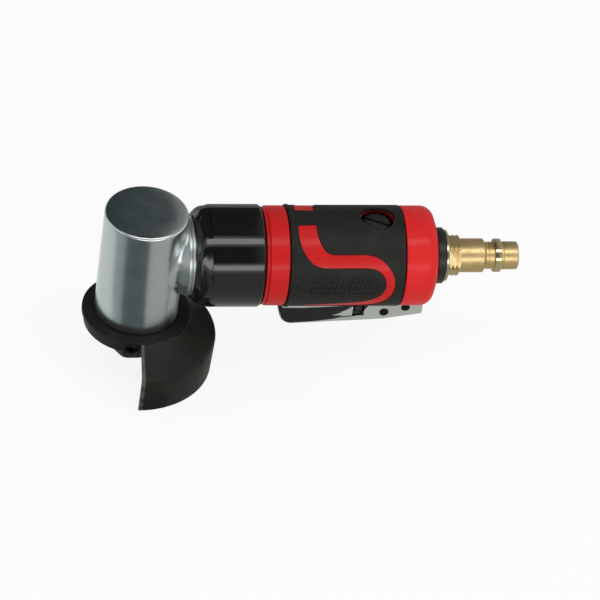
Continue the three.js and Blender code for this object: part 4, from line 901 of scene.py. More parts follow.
def clamp_nut():
    nose = spline([
        (NUT_FRONT, NUT_FRONT_RADIUS, 0), (NUT_FRONT + NUT_TAPER / 3, NUT_SHOULDER_RADIUS - NUT_TAPER / 9, 0),
        (NUT_FRONT + NUT_TAPER * 2 / 3, NUT_SHOULDER_RADIUS, 0), (NUT_FRONT + NUT_TAPER, NUT_RADIUS, 0)], 6)
    outline = rounded([
        (NUT_FRONT, SPIGOT_RADIUS + GAP), *[point.to_2d() for point in nose],
        (NUT_REAR - NUT_CHAMFER, NUT_RADIUS, 0.35), (NUT_REAR, NUT_RADIUS - NUT_CHAMFER, 0.3),
        (NUT_REAR, NUT_THREAD_RADIUS), (NUT_FRONT + NUT_LIP, NUT_THREAD_RADIUS),
        (NUT_FRONT + NUT_LIP, SPIGOT_RADIUS + GAP)], 0.15, 5)
    nut = lathe("x", outline)
    shoulder = NUT_FRONT + NUT_FLAT_LENGTH
    flats = []
    for i in range(NUT_FLATS):
        slab = box((NUT_FRONT - OVERRUN, shoulder), both(NUT_RADIUS), (NUT_FLAT_REACH, 2 * NUT_RADIUS))
        flats.append(turned(slab, "X", radians(90 - NUT_FLAT_PHASE) + i * FULL_TURN / NUT_FLATS))
    nut = eased(cut(nut, *flats), 0.18, 2, radians(28))
    place(nut, "clamp_nut", "nut_black")


# Motor housing and grip
def between(a, b, start, end, t):
    """The value at t on the line through a at start and b at end."""
    return a * (end - t) / (end - start) + b * (t - start) / (end - start)


def spline(points, steps):
    """Points on a centripetal Catmull-Rom curve through the given ones."""
    points = [Vector(p) for p in points]
    points = [2 * points[0] - points[1]] + points + [2 * points[-1] - points[-2]]
    result = []
    for p0, p1, p2, p3 in zip(points, points[1:], points[2:], points[3:]):
        t1 = max((p1 - p0).length, TINY) ** 0.5
        t2 = t1 + max((p2 - p1).length, TINY) ** 0.5
        t3 = t2 + max((p3 - p2).length, TINY) ** 0.5
        for i in range(steps):
            t = t1 + (t2 - t1) * i / steps
            middle = between(p1, p2, t1, t2, t)
            before = between(between(p0, p1, 0, t1, t), middle, 0, t2, t)
            after = between(middle, between(p2, p3, t2, t3, t), t1, t3, t)
            result.append(between(before, after, t1, t2, t))
    return result + [points[-2]]


def wrapped(outline):
    """A flat outline of (length, climb) points as radial walls round both sides of the grip."""
    bm = bmesh.new()
    sheets = []
    for radius in (GRIP_FLOOR - OVERRUN, 2 * HOUSING_RADIUS):
        corners = [(along, -radius * cos(climb / RIB_RADIUS), radius * sin(climb / RIB_RADIUS))
                   for along, climb in outline]
        sheets.append([bm.verts.new(corner) for corner in corners])
    triangles = tessellate_polygon([[Vector((along, climb, 0)) for along, climb in outline]])
    for corners in triangles:
        for sheet in sheets:
            bm.faces.new([sheet[i] for i in corners])
    near, far = sheets
    for i in range(len(outline)):
        bm.faces.new((near[i - 1], near[i], far[i], far[i - 1]))
    bmesh.ops.recalc_face_normals(bm, faces=bm.faces)
    mirrored = bmesh.ops.duplicate(bm, geom=bm.verts[:] + bm.edges[:] + bm.faces[:])["geom"]
    corners = [item for item in mirrored if isinstance(item, bmesh.types.BMVert)]
    bmesh.ops.scale(bm, vec=(1, -1, 1), verts=corners)
    return make_object(bm)


def stripe_band(extra):
    """The S of the grip, widened all round by extra."""
    guide = [(RING_END + GRIP_LENGTH * length, RIB_RADIUS * pi / 2 * climb, STRIPE_WIDTH * width)
             for length, climb, width in STRIPE_SHARES]
    line = spline(guide, STRIPE_STEPS)
    for end, neighbour in ((0, 1), (-1, -2)):
        run = (line[end] - line[neighbour]).to_2d().normalized() * extra
        line[end] = line[end] + Vector((run.x, run.y, 0))
    edges = ([], [])
    for i, point in enumerate(line):
        before, after = line[max(i - 1, 0)], line[min(i + 1, len(line) - 1)]
        across = Vector((before.y - after.y, after.x - before.x)).normalized()
        for edge, sign in zip(edges, (1, -1)):
            reach = sign * (point.z / 2 + extra)
            edge.append((point.x + across.x * reach, point.y + across.y * reach))
    return wrapped(edges[0] + edges[1][::-1])


def exhaust_holes(start, end):
    angle = radians(EXHAUST_HOLE_ANGLE)
    across, up = EXHAUST_HOLE_CIRCLE * cos(angle), EXHAUST_HOLE_CIRCLE * sin(angle)
    return [rod("x", EXHAUST_HOLE_RADIUS, start, end, (side * across, level * up))
            for side in (1, -1) for level in (1, -1)]


def housing_cuts():
    valve = (VALVE_PLACE, 0)
    return [
        rod("z", VALVE_BORE, -HOUSING_RADIUS - OVERRUN, VALVE_CHAMBER_TOP, valve),
        rod("z", AIRWAY_RADIUS, 0, REGULATOR_FLOOR + 1, valve),
        rod("z", REGULATOR_BORE, REGULATOR_FLOOR, HOUSING_RADIUS + OVERRUN, valve, BORE_SIDES),
        rod("z", REGULATOR_BORE + SNAP_RING_WALL / 2, *RING_GROOVE, valve, BORE_SIDES),
        rod("x", AIRWAY_RADIUS, VALVE_PLACE, INLET_START, (0, INLET_AIRWAY_HEIGHT)),
        rod("x", INLET_THREAD_RADIUS + GAP, INLET_START - 2 * GAP, CAP_END + OVERRUN, sides=BORE_SIDES),
        rod("y", PIVOT_PIN_RADIUS + SLIM_GAP, *both(LUG_HALF_WIDTH + OVERRUN), (PIVOT.x, PIVOT.z)),
        *exhaust_holes(MOTOR_BORE_END - OVERRUN, CAP_END + OVERRUN),
    ]


def motor_housing():
    tip = 90 - CAP_ROUND_ANGLE
    front = rounded([
        (HOUSING_FRONT, MOTOR_BORE), (HOUSING_FRONT, THREAD_RADIUS), (RING_START, THREAD_RADIUS),
        (RING_START, HOUSING_RADIUS - RING_STEP_HEIGHT / 3, 0.3),
        (RING_START + RING_STEP / 2, HOUSING_RADIUS - RING_STEP_HEIGHT, 0.6),
        (RING_START + RING_STEP, HOUSING_RADIUS - RING_STEP_HEIGHT, 0.25),
        (RING_START + RING_STEP + RING_STEP_HEIGHT / 2, HOUSING_RADIUS, 0.35),
        (RING_END, HOUSING_RADIUS, HOUSING_EDGE), (RING_END, GRIP_FLOOR), (SLEEVE_END + GAP, GRIP_FLOOR),
        (SLEEVE_END + GAP, HOUSING_RADIUS, HOUSING_EDGE), (CAP_ROUND_START, HOUSING_RADIUS)],
        0.15, 5, loop=False)
    cap = arc((CAP_ROUND_START, HOUSING_RADIUS - CAP_ROUND), CAP_ROUND, 90, tip, 10)[1:]
    outline = front + cap + rounded([
        cap[-1], (*CAP_SHOULDER, 1), (CAP_END, CAP_END_RADIUS, 0.3), (CAP_END, 0),
        (MOTOR_BORE_END, 0), (MOTOR_BORE_END, MOTOR_BORE)], 0.2, 4, loop=False)[1:]
    body = lathe("x", outline)
    stripe = tube("x", GRIP_FLOOR - GAP, RIB_RADIUS, RING_END + GAP / 2, SLEEVE_END + GAP / 2)
    stripe = common(stripe, stripe_band(0))
    lug = prism("y", [
        (PIVOT.x - LUG_LENGTH / 2, LUG_ROOT), (PIVOT.x - LUG_LENGTH / 2, LUG_START),
        *arc((PIVOT.x, PIVOT.z), LUG_EYE, 180, 360, 16),
        (PIVOT.x + LUG_LENGTH / 2, LUG_START), (PIVOT.x + LUG_LENGTH / 2, LUG_ROOT),
    ], *both(LUG_HALF_WIDTH))
    body = cut(joined(body, stripe, eased(lug, 0.3)), *housing_cuts())
    place(body, "motor_housing", "housing_red")


def pad_oval(inset):
    """The pad's outline, drawn in by inset."""
    front, rear = Vector(PAD_FRONT), Vector(PAD_REAR)
    slope = degrees(atan2(rear.y - front.y, rear.x - front.x))
    radius = PAD_RADIUS - inset
    return arc(front, radius, slope + 90, slope + 270, 20) + arc(rear, radius, slope - 90, slope + 90, 20)


def pad_ribs():
    """Slanted ribs within the pad."""
    front, rear = Vector(PAD_FRONT), Vector(PAD_REAR)
    half, tall, lean = PAD_RIB_WIDTH / 2, PAD_RADIUS - 2 * PAD_RIM, PAD_RIB_SLANT / 2
    ribs = []
    for i in range(PAD_RIBS):
        middle = front.lerp(rear, i / (PAD_RIBS - 1))
        ribs.append(wrapped([
            (middle.x - half - lean, middle.y - tall), (middle.x + half - lean, middle.y - tall),
            (middle.x + half + lean, middle.y + tall), (middle.x - half + lean, middle.y + tall)]))
    return ribs


def sleeve_band(rise):
    """A ring as long as the sleeve, which stands above its skin by rise."""
    return tube("x", GRIP_FLOOR + GAP, SLEEVE_RADIUS + rise, SLEEVE_START, SLEEVE_END)


def grip_sleeve():
    inner = GRIP_FLOOR + GAP
    lip_end = SLEEVE_START + SLEEVE_LIP_LENGTH
    shell = lathe("x", rounded([
        (SLEEVE_START, inner), (SLEEVE_START, SLEEVE_RADIUS),
        (SLEEVE_START + SLEEVE_LIP, SLEEVE_RADIUS + SLEEVE_LIP), (lip_end, SLEEVE_RADIUS + SLEEVE_LIP, 0.25),
        (lip_end + SLEEVE_LIP, SLEEVE_RADIUS, 0.25), (SLEEVE_END, SLEEVE_RADIUS, 0.4), (SLEEVE_END, inner)],
        0.15, 4))

    def window(radius):
        return rod("z", radius, 0, 2 * SLEEVE_RADIUS, (VALVE_PLACE, 0), MIDDLE_SIDES)

    rim = common(sleeve_band(WINDOW_RIM_HEIGHT), window(WINDOW_RADIUS + WINDOW_RIM))
    pads = [common(sleeve_band(PAD_RISE), rib) for rib in pad_ribs()]
    pads.append(cut(common(sleeve_band(PAD_RISE / 2), wrapped(pad_oval(0))), wrapped(pad_oval(PAD_RIM))))
    slot = box((SLEEVE_START - OVERRUN, SLEEVE_END + OVERRUN), both(SLEEVE_SLOT / 2), (-2 * SLEEVE_RADIUS, 0))
    body = joined(shell, eased(rim, 0.05), *pads)
    body = cut(body, window(WINDOW_RADIUS), slot, stripe_band(GAP / 2))
    place(body, "grip_sleeve", "grip_rubber")


# Throttle lever, latch and their pins
def lever_outline(inset, top):
    """The lever's side outline, drawn in by inset along its underside and front, up to the given height."""
    centre = (LEVER_FRONT + LEVER_ROUND, LEVER_BOTTOM + LEVER_ROUND)
    nose = arc(centre, LEVER_ROUND - inset, 180, 270, 12)
    knee = (LEVER_KNEE[0], LEVER_KNEE[1] + inset)
    return [(LEVER_FRONT + inset, top)] + nose + [knee]


def throttle_lever():
    half = LEVER_HALF_WIDTH
    outside = prism("y", lever_outline(0, LEVER_WALL_TOP) + [
        (LEVER_REAR, LEVER_REAR_BOTTOM), (LEVER_REAR, LEVER_EAR_TOP), (LEVER_EAR_START, LEVER_EAR_TOP),
        (LEVER_EAR_START - LEVER_EAR_RAMP, LEVER_WALL_TOP)], *both(half))
    outside = eased(outside, LEVER_EDGE, 5, radians(60))
    inside = prism("y", lever_outline(LEVER_SHEET, 0) + [
        (LEVER_REAR + OVERRUN, LEVER_REAR_BOTTOM + LEVER_SHEET), (LEVER_REAR + OVERRUN, 0)],
        *both(half - LEVER_SHEET))
    across = both(2 * half)
    notch = box(LEVER_NOTCH, across, (LEVER_NOTCH_FLOOR, 0))
    tail_slot = box(LEVER_TAIL_SLOT, both(LEVER_TAIL_SLOT_REACH),
                    (LEVER_BOTTOM - 1, LEVER_KNEE[1] + 2 * LEVER_SHEET))
    pivot_hole = rod("y", PIVOT_PIN_RADIUS + SLIM_GAP, *across, (PIVOT.x, PIVOT.z))
    latch_hole = rod("y", LATCH_PIN_HEAD + SLIM_GAP, *across, (LATCH_PIVOT.x, LATCH_PIVOT.z))
    floor_radius = GRIP_FLOOR + PRESSED_GAP
    pressed = lathe("x", [
        (0, 0), (0, floor_radius), (SLEEVE_END, floor_radius), (SLEEVE_END, HOUSING_RADIUS + GAP),
        (LEVER_REAR + OVERRUN, HOUSING_RADIUS + GAP), (LEVER_REAR + OVERRUN, 0)])
    pressed = turned(pressed, "Y", -LEVER_STROKE, tuple(PIVOT))
    body = cut(outside, inside, notch, tail_slot, pivot_hole, latch_hole, pressed)
    body = eased(body, 0.05, 2)
    place(body, "throttle_lever", "lever_chrome", "throttle")


def pin(radius, half, centre, edge):
    """A pin across the lever with rounded ends."""
    return moved(capped("y", radius, -half, half, edge, edge), centre.x, 0, centre.z)


def lever_pivot_pin():
    pivot = pin(PIVOT_PIN_RADIUS, LEVER_HALF_WIDTH + PIVOT_HEAD, PIVOT, 0.3)
    place(pivot, "lever_pivot_pin", "dark_steel")


def latch_pin():
    half = LEVER_HALF_WIDTH
    shaft = pin(LATCH_PIN_RADIUS, half - SLIM_GAP, LATCH_PIVOT, 0.1)
    heads = []
    for side in (1, -1):
        head = capped("y", LATCH_PIN_HEAD, 0, LEVER_SHEET, 0.3)
        if side < 0:
            turned(head, "Z", pi)
        heads.append(moved(head, LATCH_PIVOT.x, side * (half - LEVER_SHEET), LATCH_PIVOT.z))
    place(joined(shaft, *heads), "latch_pin", "dark_steel", "throttle")


def safety_latch():
    x, z = LATCH_PIVOT.x, LATCH_PIVOT.z
    low, high = extent("safety_latch")
    end, bottom = low.x + LATCH_BLOCK[0], high.z - LATCH_BLOCK[1]
    stop = eased(box((low.x, end), (low.y, high.y), (bottom, high.z)), 0.35, 3)
    root = end - GAP
    pieces = []
    for side in (1, -1):
        near, far = sorted(side * reach for reach in LATCH_ARM)
        outline = [(root, bottom), (x, z - LATCH_HUB), (x, z + LATCH_HUB), (root, bottom + LATCH_ARM_ROOT)]
        pieces += [prism("y", outline, near, far), rod("y", LATCH_HUB, near, far, (x, z))]
    bridge = box(LATCH_BRIDGE, both(LATCH_BRIDGE_REACH), (z - LATCH_HUB / 2, z + LATCH_HUB / 2))
    tail = eased(box(LATCH_BRIDGE, both(LATCH_FOOT_REACH), (low.z, z)), 0.15)
    foot = eased(box(LATCH_FOOT, both(LATCH_FOOT_REACH), (low.z, low.z + LATCH_FOOT_HEIGHT)), 0.25, 3)
    hole = rod("y", LATCH_PIN_RADIUS + SLIM_GAP, *both(2 * LATCH_ARM[1]), (x, z))
    body = cut(joined(stop, *pieces, bridge, tail, foot), hole)
    place(body, "safety_latch", "dark_steel", "latch")


# Regulator
def regulator_dial():
    low = REGULATOR_FLOOR + GAP
    radius = REGULATOR_BORE - GAP
    seat, bridge = DIAL_GROOVE
    dial = lathe("z", rounded([
        (low, 0), (low, radius), (seat, radius), (seat, radius - DIAL_GROOVE_DEPTH),
        (bridge, radius - DIAL_GROOVE_DEPTH), (bridge, radius), (REGULATOR_TOP, radius, 0.4),
        (REGULATOR_TOP, BOSS_RADIUS), (BOSS_TOP, BOSS_RADIUS, 0.3),
        (BOSS_TOP, 0)], 0.1, 4), MIDDLE_SIDES)
    width, depth = REGULATOR_SLOT
    top = BOSS_TOP + 1
    slot = box(both(width / 2), both(REGULATOR_BORE), (BOSS_TOP - depth, top))
    marks = []
    for i in range(DIAL_MARKS):
        mark = box(both(DIAL_MARK_WIDTH / 2), (BOSS_RADIUS - DIAL_MARK_LENGTH, BOSS_RADIUS + DIAL_MARK_DEPTH),
                   (BOSS_TOP - DIAL_MARK_DEPTH, top))
        marks.append(turned(mark, "Z", radians(DIAL_MARK_STEP * (i - DIAL_MARKS // 2) + 90)))
    dial = eased(cut(dial, turned(slot, "Z", REGULATOR_SLOT_TURN), *marks), 0.06)
    place(moved(dial, VALVE_PLACE, 0, 0), "regulator_dial", "black_plastic", "regulator")


def regulator_snap_ring():
    outer = REGULATOR_BORE + SNAP_RING_WALL / 2 - GAP
    low, high = extent("regulator_snap_ring")
    ring = tube("z", outer - SNAP_RING_WALL, outer, low.z, high.z, 0.12, MIDDLE_SIDES)
    half = radians(SNAP_RING_OPENING / 2)
    back, side = -SNAP_RING_REACH * cos(half), SNAP_RING_REACH * sin(half)
    ring = cut(ring, prism("z", [(0, 0), (back, side), (back, -side)], low.z - 1, high.z + 1))
    place(moved(ring, VALVE_PLACE, 0, 0), "regulator_snap_ring", "dark_steel")


# Air inlet
def exhaust_ring():
    ring = tube("x", EXHAUST_BORE, ring_high.y, ring_low.x, ring_high.x, 0.3)
    slots = []
    for i in range(EXHAUST_SLOTS):
        slot = box((ring_low.x - OVERRUN, ring_low.x + EXHAUST_SLOT_DEPTH),
                   both(EXHAUST_SLOT_WIDTH / 2), (0, ring_high.y - EXHAUST_RIM))
        slots.append(turned(slot, "X", i * FULL_TURN / EXHAUST_SLOTS))
    place(cut(ring, *slots), "exhaust_ring", "black_plastic")


def inlet_bushing():
    bushing = lathe("x", rounded([
        (INLET_START, INLET_BORE), (INLET_START, INLET_THREAD_RADIUS), (FLANGE_START, INLET_THREAD_RADIUS),
        (FLANGE_START, FLANGE_RADIUS, 0.15), (FLANGE_END, FLANGE_RADIUS, 0.35),
        (FLANGE_END, INLET_BORE, 0.2)], 0.15, 4))
    place(bushing, "inlet_bushing", "plain_steel", finish=FLANGE_NICKEL)


def air_plug():
    nose_end = plug_high.x

    def line(middle, radius):
        depth = PLUG_LINE_DEPTH
        return [(middle - depth, radius), (middle, radius - depth), (middle + depth, radius)]

    body = lathe("x", rounded([
        (plug_low.x, PLUG_BORE), (plug_low.x, PLUG_THREAD_RADIUS), (HEX_START, PLUG_THREAD_RADIUS),
        (HEX_START, PLUG_BODY_RADIUS), (PLUG_BODY_END, PLUG_BODY_RADIUS, 0.3),
        (PLUG_GROOVE_START, PLUG_GROOVE_RADIUS, 0.3), *line(PLUG_LINES[0], PLUG_GROOVE_RADIUS),
        (PLUG_COLLAR_START, PLUG_GROOVE_RADIUS, 0.25),
        (PLUG_COLLAR_START, PLUG_COLLAR_RADIUS, 0.35), (PLUG_NOSE_START, PLUG_COLLAR_RADIUS, 0.35),
        (PLUG_NOSE_START, PLUG_NOSE_RADIUS, 0.25), *line(PLUG_LINES[1], PLUG_NOSE_RADIUS),
        (nose_end, PLUG_NOSE_RADIUS, PLUG_NOSE_ROUND), (nose_end, PLUG_BORE, 0.3)], 0.1, 4))
    hex_end = HEX_START + HEX_LENGTH
    chamfer = HEX_CORNER - HEX_FLATS / 2
    notches = []
    for i in (1, 2):
        middle = HEX_START + HEX_LENGTH * i / 3
        notches += [(middle - HEX_NOTCH, HEX_CORNER), (middle, HEX_CORNER - HEX_NOTCH, 0.1),
                    (middle + HEX_NOTCH, HEX_CORNER)]
    corners = lathe("x", rounded([
        (HEX_START, PLUG_BORE + 1), (HEX_START, HEX_CORNER - chamfer / 2),
        (HEX_START + chamfer / 2, HEX_CORNER), *notches,
        (hex_end - chamfer / 2, HEX_CORNER), (hex_end, HEX_CORNER - chamfer / 2),
        (hex_end, PLUG_BORE + 1)], 0.1, 3))
    nut = common(corners, prism("x", hexagon(HEX_FLATS), HEX_START - 1, hex_end + 1))
    place(joined(body, nut), "air_plug", "plug_brass")


# Guard and spindle end
def along_screw(piece):
    """Points a piece made along Z out through the guard's clamp screw hole."""
    turned(piece, "Y", pi / 2)
    turned(piece, "Z", SCREW_ANGLE)
    return moved(piece, 0, 0, (COLLAR_TOP + COLLAR_BOTTOM) / 2)


def guard_collar():
    step = COLLAR_TOP - COLLAR_STEP
    ring = lathe("z", rounded([
        (COLLAR_BOTTOM, COLLAR_BORE), (COLLAR_BOTTOM, COLLAR_RADIUS - COLLAR_STEP_DEPTH, 0.3),
        (step, COLLAR_RADIUS - COLLAR_STEP_DEPTH, 0.2), (step, COLLAR_RADIUS, 0.3),
        (COLLAR_TOP, COLLAR_RADIUS, 0.45), (COLLAR_TOP, COLLAR_BORE, 0.25)], 0.2, 4))
    top = COLLAR_RADIUS + SCREW_BOSS_HEIGHT
    boss = capped("z", SCREW_BOSS_RADIUS, COLLAR_BORE + GAP, top, 0.4, steps=5)
    hole = rod("z", SCREW_RADIUS + GAP, 0, COLLAR_RADIUS + OVERRUN)
    body = cut(joined(ring, along_screw(boss)), along_screw(hole))
    place(body, "guard_collar", "guard_black", "guard")


def guard_clamp_screw():
    head = COLLAR_RADIUS + SCREW_BOSS_HEIGHT - GAP
    screw = capped("z", SCREW_RADIUS, COLLAR_BORE + GAP, head, 0.35)
    socket = prism("z", hexagon(SCREW_SOCKET), head - OVERRUN, head + OVERRUN)
    place(along_screw(cut(screw, socket)), "guard_clamp_screw", "dark_steel", "guard")


def guard_shell():
    hem = COLLAR_RADIUS + GAP
    bend_place = GUARD_RIM - GUARD_BEND
    bend_height = GUARD_LIP + GUARD_SKIRT
    under = GUARD_CROWN - GUARD_SHEET / cos(GUARD_CONE) - GUARD_SHEET * tan(GUARD_CONE)
    lean = 90 - degrees(GUARD_CONE)

    def bend(radius):
        return [(height, out) for out, height in arc((bend_place, bend_height), radius, lean, 0, 10)]

    lip = GUARD_RIM - GUARD_LIP_INSET
    outline = rounded([
        (GUARD_CROWN, hem), *bend(GUARD_BEND), (GUARD_LIP, lip, 0.35), (GUARD_LIP, lip - GUARD_SHEET, 0.35),
        *bend(GUARD_BEND - GUARD_SHEET)[::-1], (under, hem + GUARD_SHEET),
        (GUARD_CROWN - GUARD_HEM, hem + GUARD_SHEET), (GUARD_CROWN - GUARD_HEM, hem)], 0.3, 4)
    shell = lathe("z", outline, FINE_SIDES)
    reach = GUARD_RIM + OVERRUN
    shell = cut(shell, box((-reach, 0), both(reach), (GUARD_LIP - OVERRUN, 0)))
    place(eased(shell, 0.22, 3, radians(50)), "guard_shell", "guard_black", "guard")


def spindle_stud():
    low = extent("spindle")[0]
    crest = [(low.z, 0), (low.z, STUD_RADIUS - STUD_CHAMFER)]
    z = low.z + STUD_CHAMFER
    while z + THREAD_PITCH < DISC_SEAT + INNER_FLANGE_THICKNESS:
        crest += [(z, STUD_RADIUS), (z + THREAD_PITCH / 2, STUD_RADIUS - THREAD_DEPTH)]
        z += THREAD_PITCH
    stud = lathe("z", crest + [(z, STUD_RADIUS), (STUD_TOP, STUD_RADIUS), (STUD_TOP, 0)],
                 MIDDLE_SIDES)
    place(stud, "spindle_stud", "plain_steel", "disc_spindle")


def inner_flange():
    top = extent("inner_flange")[1].z
    pilot, plate = DISC_SEAT - PILOT_HEIGHT, DISC_SEAT + INNER_FLANGE_THICKNESS
    flange = lathe("z", rounded([
        (pilot, STUD_RADIUS + GAP), (pilot, PILOT_RADIUS, 0.2), (DISC_SEAT, PILOT_RADIUS),
        (DISC_SEAT, INNER_FLANGE_RADIUS), (plate, INNER_FLANGE_RADIUS, 0.4), (plate, FLANGE_HUB_RADIUS, 0.3),
        (top, FLANGE_HUB_RADIUS, 0.2), (top, STUD_RADIUS + GAP)], 0.15, 4))
    place(flange, "inner_flange", "dark_steel", "disc_spindle")


def disc_nut():
    bottom, top = (corner.z for corner in extent("disc_nut"))
    corner = hex_corner(DISC_NUT_FLATS)
    height, depth = DISC_NUT_CHAMFER
    recess = top - PILOT_HEIGHT
    blank = lathe("z", rounded([
        (bottom, STUD_RADIUS + GAP, 0.3), (bottom, corner - depth), (bottom + height, corner), (top, corner),
        (top, PILOT_RADIUS + GAP), (recess, PILOT_RADIUS + GAP), (recess, STUD_RADIUS + GAP)], 0.12, 4))
    nut = common(blank, prism("z", hexagon(DISC_NUT_FLATS), bottom - 1, top + 1))
    place(nut, "disc_nut", "dark_steel", "disc_spindle")


def bearing_retainer():
    bottom, top = (corner.z for corner in extent("bearing_retainer"))
    ring = tube("z", FLANGE_HUB_RADIUS + GAP, RETAINER_RADIUS, bottom, top, 0.25)
    place_out = (FLANGE_HUB_RADIUS + RETAINER_RADIUS) / 2
    holes = [rod("z", RETAINER_HOLE_RADIUS, bottom - 1, bottom + RETAINER_HOLE_DEPTH, (side * place_out, 0))
             for side in (1, -1)]
    place(cut(ring, *holes), "bearing_retainer", "dark_steel")


# Studio
CAMERA_RIGHT = Vector((0.98592, -0.12740, 0.10862))
CAMERA_UP = Vector((0.00134, 0.65499, 0.75564))
CAMERA_BACK = Vector((-0.1674, -0.7448, 0.6459))
CAMERA_DISTANCE = 2
CAMERA_SIDESTEP = 0.05576
CAMERA_DROP = 0.015755
CAMERA_LENS = 340.23
CAMERA_SENSOR = 36
CAMERA_SIGHT = 50
STUDIO_REACH = 1
CANOPY_REACH = 1.02 * STUDIO_REACH
STRIPS = [("upper_strip", 71.5, 0.22), ("lower_strip", 12, 0.2)]
STRIP_LENGTH = 1.3
STRIP_MIDDLE = 0.2
STRIP_BRIGHTNESS = 3.6
WORLD_FILL = 0.58
DARK_CLOTH = (0.038, 0.052, 0.055)
GREY_CLOTH = (0.4, 0.4, 0.39)
CANOPY_ENDS = (-1.6, 0.255, 1.6)
CANOPY_SPANS = [(22, 60), (83, 178)]
FLOOR_SHADOW_SHARE = 0.12
FLOOR_REACH = 6
FLOOR_SINK = 0.0001
FLOOR_COLOUR = (0.9, 0.9, 0.9, 1)
FLOOR_ROUGHNESS = 0.9

# Cards on the floor round the head, which polished surfaces mirror: for each, the near corner and the
# direction in degrees of its two edges, and its colour
FLOOR_CARDS = [
    (((-16, 4), 105), ((-16, -29), 163), (0.76, 0.8, 0.77)),
    (((-16, -29), 163), ((-16, -29), 204), (0.34, 0.4, 0.4)),
    (((-16, -29), 204), ((12.5, -27), 270), (0.105, 0.125, 0.128)),
    (((12.5, -27), 270), ((24, 6), 365), (0.48, 0.5, 0.465)),
    (((24, 6), 372), ((-2, 20), 465), (0.3, 0.3, 0.3)),
]
LEVER_CARD_X = (30, 70.4)
LEVER_CARD_SLANT = 14
LEVER_CARD_Y = 16
LEVER_CARD_Z = (-46, -23)
LEVER_CARD_COLOUR = (0.03, 0.03, 0.03)


def camera():
    data = bpy.data.cameras.new("camera")
    data.lens = CAMERA_LENS
    data.sensor_width = CAMERA_SENSOR
    data.clip_end = CAMERA_SIGHT
    view = linked("camera", data)
    middle = Vector((0, 0, AXIS_HEIGHT * MM))
    spot_seen = CAMERA_RIGHT * CAMERA_SIDESTEP - CAMERA_UP * CAMERA_DROP
    turn = Matrix((CAMERA_RIGHT, CAMERA_UP, CAMERA_BACK)).transposed().to_4x4()
    view.matrix_world = Matrix.Translation(CAMERA_BACK * CAMERA_DISTANCE + spot_seen + middle) @ turn
    bpy.context.scene.camera = view


def seen_as_white(tree):
    """1 for what the camera sees, straight, mirrored or through glass, and 0 for light on things."""
    rays = add_node(tree, "LightPath").outputs
    seen = calculated(tree, "MAXIMUM", rays["Is Camera Ray"], rays["Is Glossy Ray"])
    return calculated(tree, "MAXIMUM", seen, rays["Is Transmission Ray"])


def world():
    scene_world = bpy.data.worlds.new("studio")
    scene_world.use_nodes = True
    tree = scene_world.node_tree
    level = add_node(tree, "MapRange", value=seen_as_white(tree), to_min=WORLD_FILL, to_max=1)
    background = tree.nodes["Background"].inputs
    background["Color"].default_value = (1, 1, 1, 1)
    feed(tree, background["Strength"], level.outputs["Result"])
    bpy.context.scene.world = scene_world


def strip_light(name, angle, width):
    """A long soft light along the handle, seen at an angle above the tool's front."""
    turn = radians(angle)
    data = bpy.data.lights.new(name, "AREA")
    data.shape = "RECTANGLE"
    data.size = STRIP_LENGTH
    data.size_y = width
    data.energy = STRIP_BRIGHTNESS * pi * STRIP_LENGTH * width
    lamp = linked(name, data)
    toward = Vector((0, -cos(turn), sin(turn)))
    lamp.location = Vector((STRIP_MIDDLE, 0, AXIS_HEIGHT * MM)) + toward * STUDIO_REACH
    lamp.rotation_euler = (pi / 2 - turn, 0, 0)
    lamp.visible_camera = False


def mirror_only(piece, colour):
    """Makes a studio card, plain and of one colour, that only polished surfaces see."""
    material = new_material(piece.name)
    tree = material.node_tree
    tree.nodes.remove(tree.nodes["Principled BSDF"])
    emission = add_node(tree, "Emission", color=(*colour, 1)).outputs["Emission"]
    feed(tree, tree.nodes["Material Output"].inputs["Surface"], emission)
    piece.data.materials.append(material)
    for kind in ("camera", "diffuse", "shadow", "transmission", "volume_scatter"):
        setattr(piece, f"visible_{kind}", False)


def canopy():
    """Cloth arched over the tool and seen only in reflections, a painted reflection, with a slit at each
    strip light: dark over the head, grey over the plug.
    """
    steps = 24
    height = AXIS_HEIGHT * MM
    cloths = (("dark", DARK_CLOTH, CANOPY_ENDS[:2]), ("grey", GREY_CLOTH, CANOPY_ENDS[1:]))
    for number, (start, end) in enumerate(CANOPY_SPANS, 1):
        for name, colour, ends in cloths:
            bm = bmesh.new()
            edge = []
            for i in range(steps + 1):
                turn = radians(start + (end - start) * i / steps)
                y, z = -CANOPY_REACH * cos(turn), CANOPY_REACH * sin(turn)
                edge.append([bm.verts.new((x, y, z + height)) for x in ends])
            for near, far in zip(edge, edge[1:]):
                bm.faces.new((near[0], near[1], far[1], far[0]))
            mirror_only(make_object(bm, f"canopy_{name}_{number}"), colour)


def flat_card(name, corners, colour):
    bm = bmesh.new()
    bm.faces.new([bm.verts.new(corner) for corner in corners])
    mirror_only(make_object(bm, name), colour)


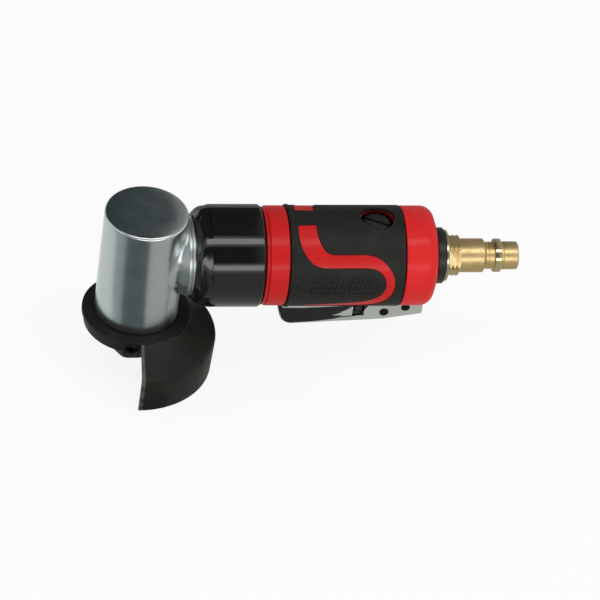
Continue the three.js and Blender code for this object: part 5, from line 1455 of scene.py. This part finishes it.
def lever_cards():
    """Small dark cards on both sides, which the front of the lever mirrors."""
    front, rear = LEVER_CARD_X
    low, high = LEVER_CARD_Z
    corners = [(front, low), (rear - LEVER_CARD_SLANT, low), (rear + LEVER_CARD_SLANT, high), (front, high)]
    for name, side in (("lever_card_near", -1), ("lever_card_far", 1)):
        flat_card(name, [(x * MM, side * LEVER_CARD_Y * MM, (z + AXIS_HEIGHT) * MM) for x, z in corners],
                  LEVER_CARD_COLOUR)


def floor_cards(height):
    """Cards beside the head, each between two lines that run out from its near corners."""
    steps = 12
    for number, (first, last, colour) in enumerate(FLOOR_CARDS, 1):
        near = [Vector(corner) * MM for corner, _ in (first, last)]
        start, end = radians(first[1]), radians(last[1])
        far = []
        for i in range(steps + 1):
            turn = start + (end - start) * i / steps
            far.append(near[0].lerp(near[1], i / steps) + FLOOR_REACH * Vector((cos(turn), sin(turn))))
        corners = far + near[::-1] if near[0] != near[1] else far + near[:1]
        flat_card(f"floor_card_{number}", [(x, y, height) for x, y in corners], colour)


def floor():
    height = cad_box[0][2] - FLOOR_SINK
    bm = bmesh.new()
    bmesh.ops.create_grid(bm, x_segments=1, y_segments=1, size=FLOOR_REACH)
    ground = make_object(bm, "floor")
    ground.location.z = height
    material = new_material("floor_white")
    tree = material.node_tree
    bsdf = tree.nodes["Principled BSDF"]
    bsdf.inputs["Base Color"].default_value = FLOOR_COLOUR
    bsdf.inputs["Roughness"].default_value = FLOOR_ROUGHNESS
    bsdf.inputs["Specular IOR Level"].default_value = 0
    share = add_node(tree, "MapRange", value=seen_as_white(tree), to_max=1 - FLOOR_SHADOW_SHARE)
    mix = add_node(tree, "MixShader", fac=share.outputs["Result"])
    feed(tree, mix.inputs[1], bsdf.outputs["BSDF"])
    feed(tree, mix.inputs[2], add_node(tree, "Emission").outputs["Emission"])
    feed(tree, tree.nodes["Material Output"].inputs["Surface"], mix.outputs["Shader"])
    ground.data.materials.append(material)
    floor_cards(height + FLOOR_SINK)


dress_frame()
for build in (head_housing, clamp_nut, motor_housing, grip_sleeve, throttle_lever, lever_pivot_pin,
              latch_pin, safety_latch, regulator_dial, regulator_snap_ring, exhaust_ring, inlet_bushing,
              air_plug, guard_collar, guard_clamp_screw, guard_shell, spindle_stud, inner_flange, disc_nut,
              bearing_retainer):
    build()

camera()
world()
for strip in STRIPS:
    strip_light(*strip)
canopy()
lever_cards()
floor()
bpy.context.scene.view_settings.view_transform = "Standard"
